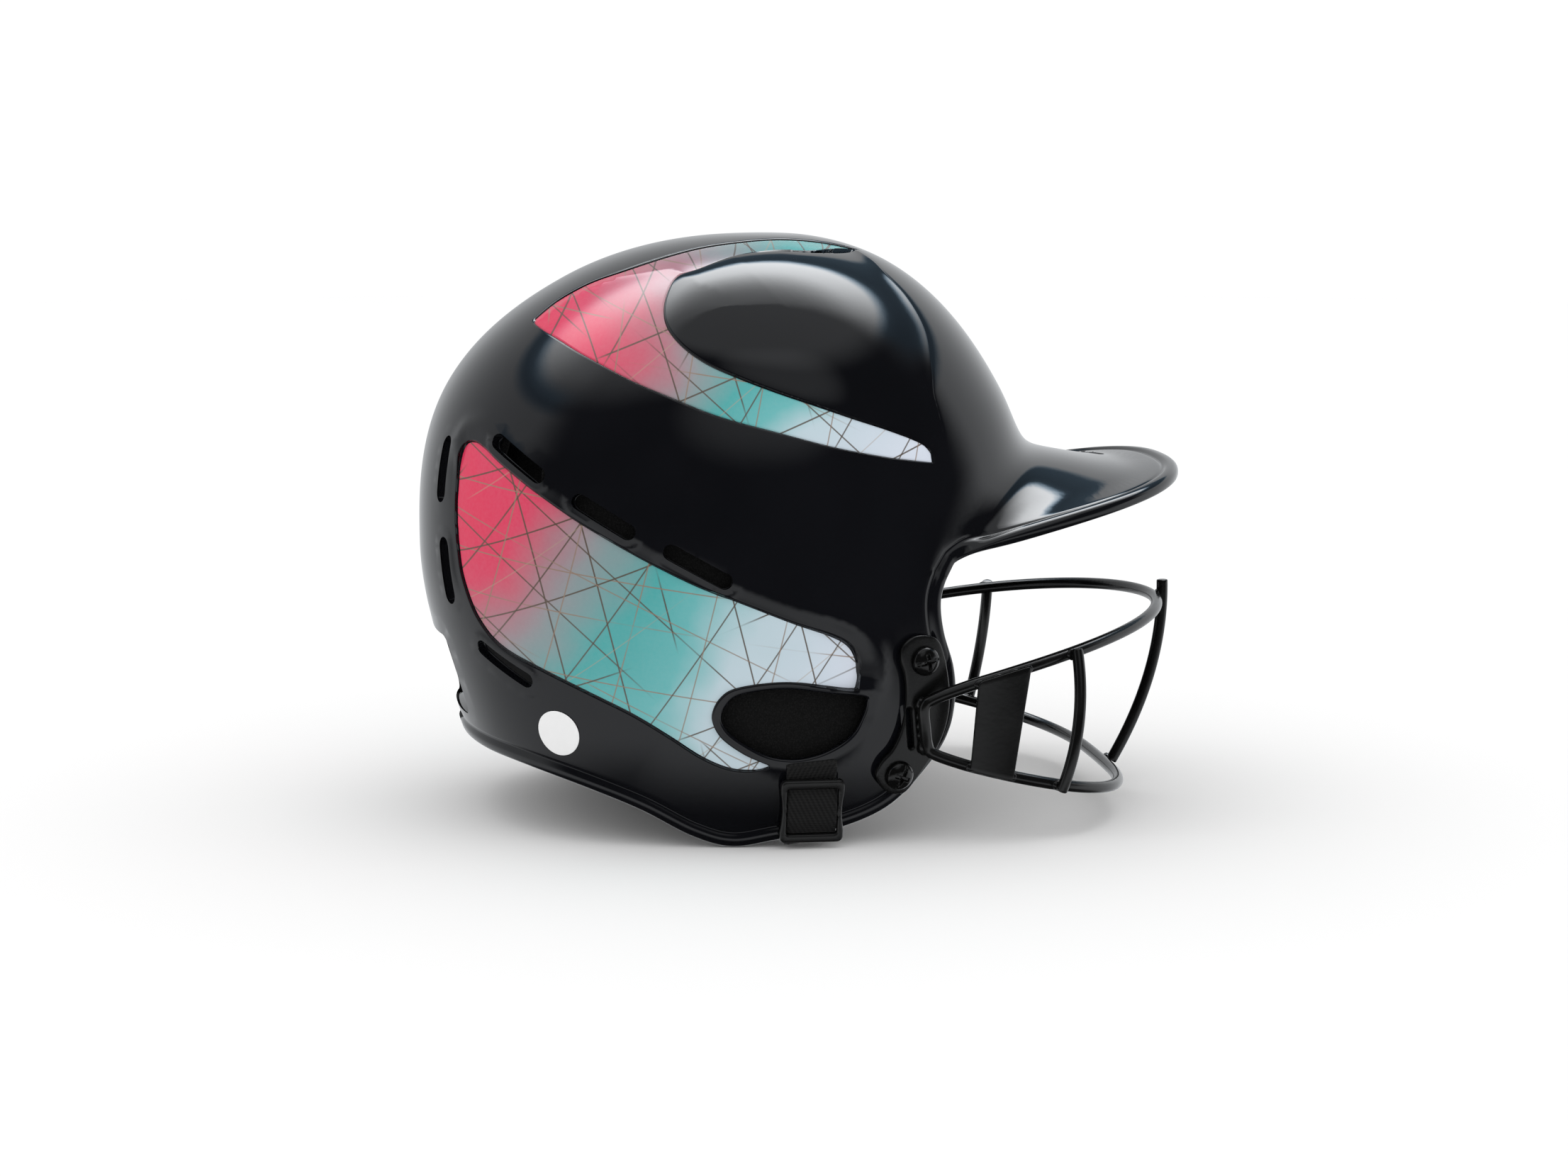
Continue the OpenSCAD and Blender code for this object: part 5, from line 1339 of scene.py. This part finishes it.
def screw_head(turn):
    """Domed head with a cross and slot recess; z is its height over the seat."""
    rings, spokes, soft = 44, 120, 0.3
    r, a = HEAD_ROUND * np.linspace(0, 1, rings) ** 0.9, circle(spokes)
    x, y = r[:, None] * np.cos(a), r[:, None] * np.sin(a)
    c, s = math.cos(turn), math.sin(turn)
    u, v = x * c + y * s, -x * s + y * c
    box = lambda hu, hv: smooth((hu - np.abs(u)) / soft + 0.5) * smooth((hv - np.abs(v)) / soft + 0.5)
    cross = np.maximum(box(CROSS_LONG, CROSS_HALF), box(CROSS_HALF, CROSS_LONG))
    cut = np.maximum(cross * (2.1 - 0.38 * np.hypot(x, y)), SLOT_DEEP * box(SLOT_LONG, SLOT_HALF))
    full = HEAD_EDGE + (HEAD_TALL - HEAD_EDGE) * np.sqrt(np.clip(1 - (r / HEAD_ROUND) ** 2.3, 0, 1))
    top = np.stack([x, y, full[:, None] - np.clip(cut, 0, None)], -1)
    foot = HEAD_ROUND * np.c_[np.cos(a), np.sin(a), 0 * a]
    net = np.concatenate([top, [foot + [0, 0, 0.25], foot, foot * 0.4]])
    return net.reshape(-1, 3), [grid_quads(rings + 3, spokes, False, True)]


def build_screws():
    parts, sides = [], 24
    k, last = circle(sides), (len(SHANK) - 1) * sides
    shank = np.concatenate([np.c_[r * np.cos(k), r * np.sin(k), np.full(sides, z)] for r, z in SHANK])
    shank_faces = [grid_quads(len(SHANK), sides, False, True)[:, ::-1], np.arange(last, last + sides)[None]]
    for spot, turn in zip(SCREW_AT, SCREW_TURN):
        d = by_side(spot)
        head, faces = screw_head(math.radians(turn))
        head = head + [0, 0, MOUNT_LIFT + MOUNT_THICK + 0.3]
        parts += [(seated(dome(d), dome_normal(d), p), f) for p, f in ((head, faces), (shank, shank_faces))]
    both_hands(*joined(parts), "screw", SCREW, "screw_pair", "screws")


build_mounts()
build_screws()

# Webbing: loops round the flaps, slack chin strap, sliders and folded ends
STRAP_X, STRAP_WIDE, STRAP_THICK, STRAP_GAP, STRAP_COLS = 23.5, 20.0, 1.2, 0.5, 15
BEAD_WIDE, BEAD_HIGH, RIM_EDGE = 4.5, 1.1, 0.6
LOOP_POINTS, CHIN_POINTS, CHIN_SAG, CHIN_TWIST = 150, 181, 50.0, 0.3
FOLD_DROP = np.array([2.0, 4.8])
SLIDER_AT, SLIDER_OUT = (-11.5496, -105.852, 15.9422), (0.0, -0.971791, -0.235843)
SLIDER_WIDE, SLIDER_LONG, SLIDER_SIDE, SLIDER_BAR, SLIDER_THICK = 25.5, 27.0, 2.6, 3.6, 3.0


def by_x(points):
    return points[np.argsort(points[:, 0])]


rim_low = by_x(rim_fine[1201:2250])
ear_low = ear_ring - CENTRE
ear_low = by_x(ear_low[ear_low[:, 2] < ear_low[:, 2].mean()])
# the loop folds through a slit just under the hole's lip
strap_edges = STRAP_X + np.array([-0.5, 0.5]) * STRAP_WIDE
fold_height = np.interp(strap_edges, ear_low[:, 0], ear_low[:, 2]) - FOLD_DROP


def rim_height(x):
    return float(np.interp(x, rim_low[:, 0], rim_low[:, 1]))


def band_section(x, c):
    """The loop's path at one place across it, from the slit down outside, round the rim and up inside."""
    top, low = float(np.interp(x, strap_edges, fold_height)), rim_height(x)
    w, b, e, k = WALL, BEAD_HIGH, RIM_EDGE, 0.7 * c
    at = lambda t: top + (low - top) * t
    high, z = np.array([
        [c, top], [c, at(0.25)], [c, at(0.5)], [c, low + BEAD_WIDE + 4], [b + c, low + BEAD_WIDE],
        [b + c, low + 0.6], [b + k, low - e - k], [(b - w) / 2, low - e - c], [-w - k, low - e - k],
        [-w - c, low + 0.6], [-w - c, at(0.7)], [-w - c, at(0.35)], [-w - c, top], [-w - k, top + k],
        [-w / 2, top + c], [k, top + k]]).T
    return raised(by_side(np.c_[np.full(len(z), x), z]), high)


def ribbon(rows, thin, across, closed):
    """A strap from rows of points across it, with its thickness along thin and the weave's places in mm."""
    n, m = rows.shape[:2]
    taper = np.sqrt(np.clip(1 - np.abs(np.linspace(-1, 1, m)) ** 10, 0.12, 1))[None, :, None] * STRAP_THICK / 2
    points = np.concatenate([rows + thin * taper, (rows - thin * taper)[:, ::-1]], 1).reshape(-1, 3)
    run = np.r_[0, np.cumsum(np.linalg.norm(np.diff(rows[:, m // 2], axis=0), axis=1))]
    weave = np.stack(np.broadcast_arrays(np.r_[across, across[::-1]][None], run[:, None]), -1).reshape(-1, 2)
    faces = [facing(points, grid_quads(n, 2 * m, closed, True), thin[0, 0], 1)]
    if not closed:
        k = np.arange(m - 1)
        end = np.stack([k, k + 1, 2 * m - 2 - k, 2 * m - 1 - k], 1)
        faces.append(facing(points, end, rows[0, 0] - rows[1, 0], 1))
        faces.append(facing(points, end + (n - 1) * 2 * m, rows[-1, 0] - rows[-2, 0], 1))
    return points, faces, weave


def build_straps():
    across = np.linspace(-0.5, 0.5, STRAP_COLS) * STRAP_WIDE
    cols = []
    for a in across:
        q = smooth_loop(band_section(STRAP_X + a, STRAP_GAP + STRAP_THICK / 2), 0.2)
        cols.append(q[np.linspace(0, len(q), LOOP_POINTS, endpoint=False).astype(int)])
    rows = np.stack(cols, 1)
    thin = unit(np.cross(heading(rows, True), unit(np.gradient(rows, axis=1))))
    p, faces, weave = ribbon(rows, thin, across, True)
    both_hands(p, faces, "strap", STRAP, "strap_band", "strap_loop", weave=weave)
    # slack strap across the opening
    start = raised(by_side([STRAP_X, rim_height(STRAP_X) - RIM_EDGE]), -(WALL + STRAP_GAP + STRAP_THICK + 0.6))
    half, t, up = -start[1], np.linspace(0, 1, CHIN_POINTS), np.array([0, 0, 1.0])
    y = -half * np.cos(math.pi * t)
    line = np.stack([start[0] - CHIN_SAG * np.cos(math.pi / 2 * y / half) ** 2, y, 0 * y], -1)
    ahead = np.gradient(line, axis=0)
    ahead[[0, -1]] = [0, 1, 0]
    ahead = unit(ahead)
    share = np.clip(np.minimum(t, 1 - t) / CHIN_TWIST, 0, 1)
    turn = math.pi / 4 * (smooth(share) + share)[:, None]
    wide = np.cos(turn) * np.cross(ahead, up) + np.sin(turn) * up
    thin = np.cross(ahead, wide)
    line[:, 2] = 1 + np.abs(wide[:, 2]) * STRAP_WIDE / 2 + np.abs(thin[:, 2]) * STRAP_THICK / 2
    rows = line[:, None] + across[None, :, None] * wide[:, None]
    p, faces, weave = ribbon(rows, np.repeat(thin[:, None], STRAP_COLS, 1), across, False)
    fit(make("chin_webbing", p, faces, STRAP, weave=weave), "strap", "chin_strap", body="chin_strap")


def build_sliders():
    w, l, side, bar = SLIDER_WIDE, SLIDER_LONG, SLIDER_SIDE, SLIDER_BAR
    outline = even(rounded_box(w, l, 2.5, 10), 0.5, True)
    waist = 0.8 * np.cos(np.clip(outline[:, 1] / (0.62 * l / 2), -1, 1) * math.pi / 2)
    outline[:, 0] -= np.sign(outline[:, 0]) * np.where(np.abs(outline[:, 0]) > w / 2 - side, waist, 0)
    window = rounded_box(w - 2 * side, l / 2 - bar * 1.5, 0.9, 5)
    windows = [window + [0, s * (l / 4 - bar / 4)] for s in (1, -1)]
    q, h, faces = cast(outline, windows, SLIDER_THICK, 1.0, 0.5, 1.0, 0.6)
    middle = (np.abs(q[:, 1]) < bar / 2 + 0.05) & (np.abs(q[:, 0]) < w / 2 - side + 0.2)
    h = np.where(middle & (h > 1.0), h * 0.7, h)
    p = seated(SLIDER_AT, SLIDER_OUT, np.c_[q, h])
    both_hands(p, faces, "buckle", BUCKLE, "slider_frame", "slider", "slider")
    # the webbing's folded end over the middle bar
    across = np.linspace(-0.5, 0.5, STRAP_COLS) * (STRAP_WIDE - 0.4)
    k = np.linspace(-1, 1, 61)
    z = np.maximum(0.2, (SLIDER_THICK * 0.7 + 0.1) * np.minimum(1, 1.7 * (1 - np.abs(k))))
    for _ in range(6):
        z[1:-1] = np.maximum(z[1:-1], (z[:-2] + z[2:]) / 2) * 0.5 + (z[:-2] + z[2:]) / 4
    line = np.stack([0 * k, (l / 2 - bar - 0.5) * k, z + STRAP_THICK / 2], -1)
    rows = line[:, None] + np.stack([across, 0 * across, 0 * across], -1)[None]
    thin = np.cross([1.0, 0, 0], heading(line, False))
    p, faces, weave = ribbon(rows, np.repeat(thin[:, None], STRAP_COLS, 1), across, False)
    p = seated(SLIDER_AT, SLIDER_OUT, p)
    both_hands(p, faces, "strap", STRAP, "strap_fold", "strap_end", "slider", weave=weave)


build_straps()
build_sliders()

# Label and liner
LABEL_AT, LABEL_ROUND, LABEL_LIFT = (-35, 127.5), 9.5, 0.25
PAD_EDGE, PAD_THICK, PAD_GAP, PAD_DRAW, PAD_ROUND = 4.0, 10.0, 0.6, 0.06, 0.9
PAD_ROWS, PAD_COLS = 34, 46
CHANNEL_AT, CHANNEL_WIDE, CHANNEL_DEEP = 0.17, 0.012, 2.2
JAW_GAP = STRAP_GAP + STRAP_THICK + 0.6
PUFF_PRESSURE, PUFF_SLACK, PUFF_FRAMES, PUFF_CAP = 4.0, 0.05, 20, 3.5


def build_label():
    d, a = by_roll(LABEL_AT), circle(160)
    n = dome_normal(d)
    u = unit(np.cross([0, 1.0, 0], n))
    q, h, faces = cast(LABEL_ROUND * np.c_[np.cos(a), np.sin(a)], [], 0.3, 0.22, 0.05, 1.4, 0.4)
    p = raised(towards(dome(d) + q[:, :1] * u + q[:, 1:] * np.cross(n, u)), LABEL_LIFT + h)
    fit(make("label_disc", p, plate_facing(p, faces, n), LABEL), "label", "round_label")


def puff(thing, sewn):
    """A short cloth run: the fabric swells between its sewn lines, and no point goes further than the cap."""
    scene, mesh = bpy.context.scene, thing.data
    start, end = np.empty(3 * len(mesh.vertices)), np.empty(3 * len(mesh.vertices))
    mesh.vertices.foreach_get("co", start)
    group = thing.vertex_groups.new(name="sewn")
    group.add(np.flatnonzero(sewn).tolist(), 1.0, "REPLACE")
    cloth = thing.modifiers.new("puff", "CLOTH")
    cloth.settings.vertex_group_mass = group.name
    cloth.settings.use_pressure = True
    cloth.settings.uniform_pressure_force = PUFF_PRESSURE
    cloth.settings.shrink_min = -PUFF_SLACK
    cloth.settings.effector_weights.gravity = 0
    cloth.point_cache.frame_end = PUFF_FRAMES
    for count in range(1, PUFF_FRAMES + 1):
        scene.frame_set(count)
    thing.evaluated_get(bpy.context.evaluated_depsgraph_get()).data.vertices.foreach_get("co", end)
    thing.modifiers.remove(cloth)
    thing.vertex_groups.remove(group)
    scene.frame_set(1)
    move = (end - start).reshape(-1, 3)
    far = np.linalg.norm(move, axis=1, keepdims=True)
    move *= np.minimum(1, PUFF_CAP * MM / np.maximum(far, 1e-9))
    mesh.vertices.foreach_set("co", start + move.ravel())
    mesh.update()


def pad(part, hand, spot, gap=PAD_GAP):
    """A crowned pad on the shell's inner face; spot gives directions for s and t from 0 to 1."""
    rows, cols = PAD_ROWS, PAD_COLS
    t, s = np.meshgrid(np.linspace(0, 1, rows), np.linspace(0, 1, cols), indexing="ij")
    s, t = (x - 0.09 * np.sin(2 * math.pi * x) for x in (s, t))
    d = spot(s, t)
    full = lambda power: (1 - (2 * s - 1) ** power) * (1 - (2 * t - 1) ** power)
    crown, edge_round = full(4).clip(0) ** 0.6, 1 - full(30).clip(0, 1)
    channel = np.exp(-(((np.abs(s - 0.5) - CHANNEL_AT) / CHANNEL_WIDE) ** 2)) * crown
    deep = PAD_EDGE + (PAD_THICK - PAD_EDGE) * crown - CHANNEL_DEEP * channel
    near, far = WALL + gap + PAD_ROUND * edge_round, WALL + gap + deep - PAD_ROUND * edge_round
    p = np.concatenate([raised(d, -near).reshape(-1, 3), raised(d, -far).reshape(-1, 3)])
    m, last = rows * cols, (rows - 1) * cols
    border = np.r_[np.arange(cols), np.arange(1, rows) * cols + cols - 1,
                   last + np.arange(cols - 2, -1, -1), np.arange(rows - 2, 0, -1) * cols]
    quads, wall = grid_quads(rows, cols), walls(border, m)
    quads = facing(p, quads, dome_normal(d).reshape(-1, 3)[quads[:, 0]])
    wall = facing(p, wall, p[wall[:, 0]] - p.mean(0))
    thing = make(f"liner_{part}{hand}", p, [np.concatenate([quads, quads[:, ::-1] + m, wall])], PAD)
    puff(thing, np.r_[np.ones(m, bool), ((channel > 0.4) | (edge_round > 0.02)).ravel()])
    fit(thing, "pad", f"{part}_pad{hand}")


def drawn(a, b):
    """a from 0 to 1, drawn in halfway along b."""
    return 0.5 + (a - 0.5) * (1 - PAD_DRAW * (1 - (2 * b - 1) ** 2))


def bearing_spot(az, el, front=0.0):
    def spot(s, t):
        first = az[0] - front * np.sin(math.pi * np.clip(t, 0, 1)) ** 0.8
        return by_bearing(first + (az[1] - first) * drawn(s, t), el[0] + (el[1] - el[0]) * drawn(t, s))
    return spot


def crown_spot(s, t):
    return by_roll(np.stack([-30 + 60 * drawn(t, s), 32 - 64 * s], -1))


build_label()
pad("crown", "", crown_spot)
pad("front", "", bearing_spot((-40, 40), (24, 47)))
pad("rear", "", bearing_spot((143, 217), (-8, 30)))
side_spot, jaw_spot = bearing_spot((62, 136), (-6, 34)), bearing_spot((66, 120), (-38, -10), 4.5)
for part, spot, gap in (("side", side_spot, PAD_GAP), ("jaw", jaw_spot, JAW_GAP)):
    pad(part, "_right", spot, gap)
    pad(part, "_left", lambda s, t: mirrored(spot(1 - s, t)), gap)

# CAD solids that stay as they are, in their own finishes
for node, finish in (("spacers", SPACER), ("nuts", NUT)):
    for hand in ("right", "left"):
        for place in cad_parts[f"{node}_{hand}"].material_slots:
            place.material = finish.material

# Camera, floor and lights
VIEW_TURN, VIEW_RISE, VIEW_FAR, VIEW_AIM = -8.0, 8.5, 1.6, (-7.65, 0, 88.9)
SENSOR, FOCAL = 36.0, 5360 / 2212  # the focal length as a share of the picture's width
FLOOR_DROP, STAGE_SPOKES, TENT_ROUND, TENT_BEND = 0.0004, 72, 3.0, 1.2


def camera():
    az, el = math.radians(VIEW_TURN), math.radians(VIEW_RISE)
    back = Vector((math.sin(az) * math.cos(el), -math.cos(az) * math.cos(el), math.sin(el)))
    right = Vector((math.cos(az), math.sin(az), 0.0))
    data = bpy.data.cameras.new("view")
    data.sensor_width = SENSOR
    data.lens = FOCAL * SENSOR
    data.clip_end = 50
    thing = bpy.data.objects.new("view", data)
    turn = Matrix((right, back.cross(right), back)).transposed().to_4x4()
    thing.matrix_world = Matrix.Translation(Vector(VIEW_AIM) * MM + back * VIEW_FAR) @ turn
    bpy.context.collection.objects.link(thing)
    bpy.context.scene.camera = thing


def room_light():
    """Light side walls under a dark curtain, a bright panel high at the back, a dark camera side."""
    world = bpy.data.worlds.new("room")
    bpy.context.scene.world = world
    world.cycles.sampling_method = "NONE"
    f = Finish("room", world)
    way = f.put("ShaderNodeTexCoord", {}, out="Generated")
    front, away, up = (f.part(way, k) for k in range(3))
    nearer = (0 - away) / ((front * front + away * away) ** 0.5 + 0.0001)
    ahead = front.over(-0.2, 0.15)
    side = 1 - (nearer + 0.35 * ahead * up.over(-0.1, 0.2)).over(0.2, 0.62)
    behind = (0 - nearer).over(-0.3, 0.95)
    over_walls, under_panel = (up + 0.14 * ahead).over(0.60, 0.68), 1 - up.over(0.70, 0.78)
    curtain = over_walls * under_panel * side
    sides = (0.57 + 0.4 * front.over(0.0, 0.6)) * side * up.over(-0.45, -0.1) * (1 - over_walls)
    ceiling = up.over(0.66, 0.86) * (0.6 + 0.5 * side)
    table = 0.7 * up.over(-0.72, -0.52) * (1 - up.over(-0.42, -0.1))
    panel = (2.8 + 4.2 * front.over(-0.6, 0.2)) * behind * (1 - under_panel) * (1 - up.over(0.86, 1.02))
    az, el = math.radians(12), math.radians(38)
    glow = f.along(way, (math.cos(el) * math.sin(az), -math.cos(el) * math.cos(az), math.sin(el)))
    strip = 0.4 * glow.over(math.cos(math.radians(24)), math.cos(math.radians(6)))
    f.feed(Strength=0.035 + sides + ceiling + table + panel + strip + 0.25 * curtain)
    f.feed(Color=f.mix(curtain, (0.95, 0.975, 1.0, 1), (0.5, 0.76, 1.0, 1)))


def turned_round(name, profile, finish):
    """Part of the stage, in metres, turned round the upright axis; gloss doesn't mirror it."""
    a = circle(STAGE_SPOKES)
    rings = np.concatenate([np.c_[r * np.cos(a), r * np.sin(a), 0 * a + z - FLOOR_DROP] for r, z in profile])
    faces = grid_quads(len(profile), STAGE_SPOKES, False, True)[:, ::-1]
    thing = make(name, rings / MM, [faces], finish)
    thing.visible_glossy = False


def studio():
    turned_round("floor", [(0.001, 0), (0.3, 0), (1.0, 0), (TENT_ROUND, 0)], pale_floor())
    bend = [(TENT_ROUND + TENT_BEND * math.sin(a), TENT_BEND - TENT_BEND * math.cos(a))
            for a in np.radians(np.arange(0, 91, 10))]
    turned_round("tent", [*bend, (4.2, 3.0), (3.6, 4.2), (2.0, 5.0), (0.001, 5.2)], tent_cloth())
    room_light()
    bpy.context.scene.view_settings.view_transform = "Standard"


camera()
studio()
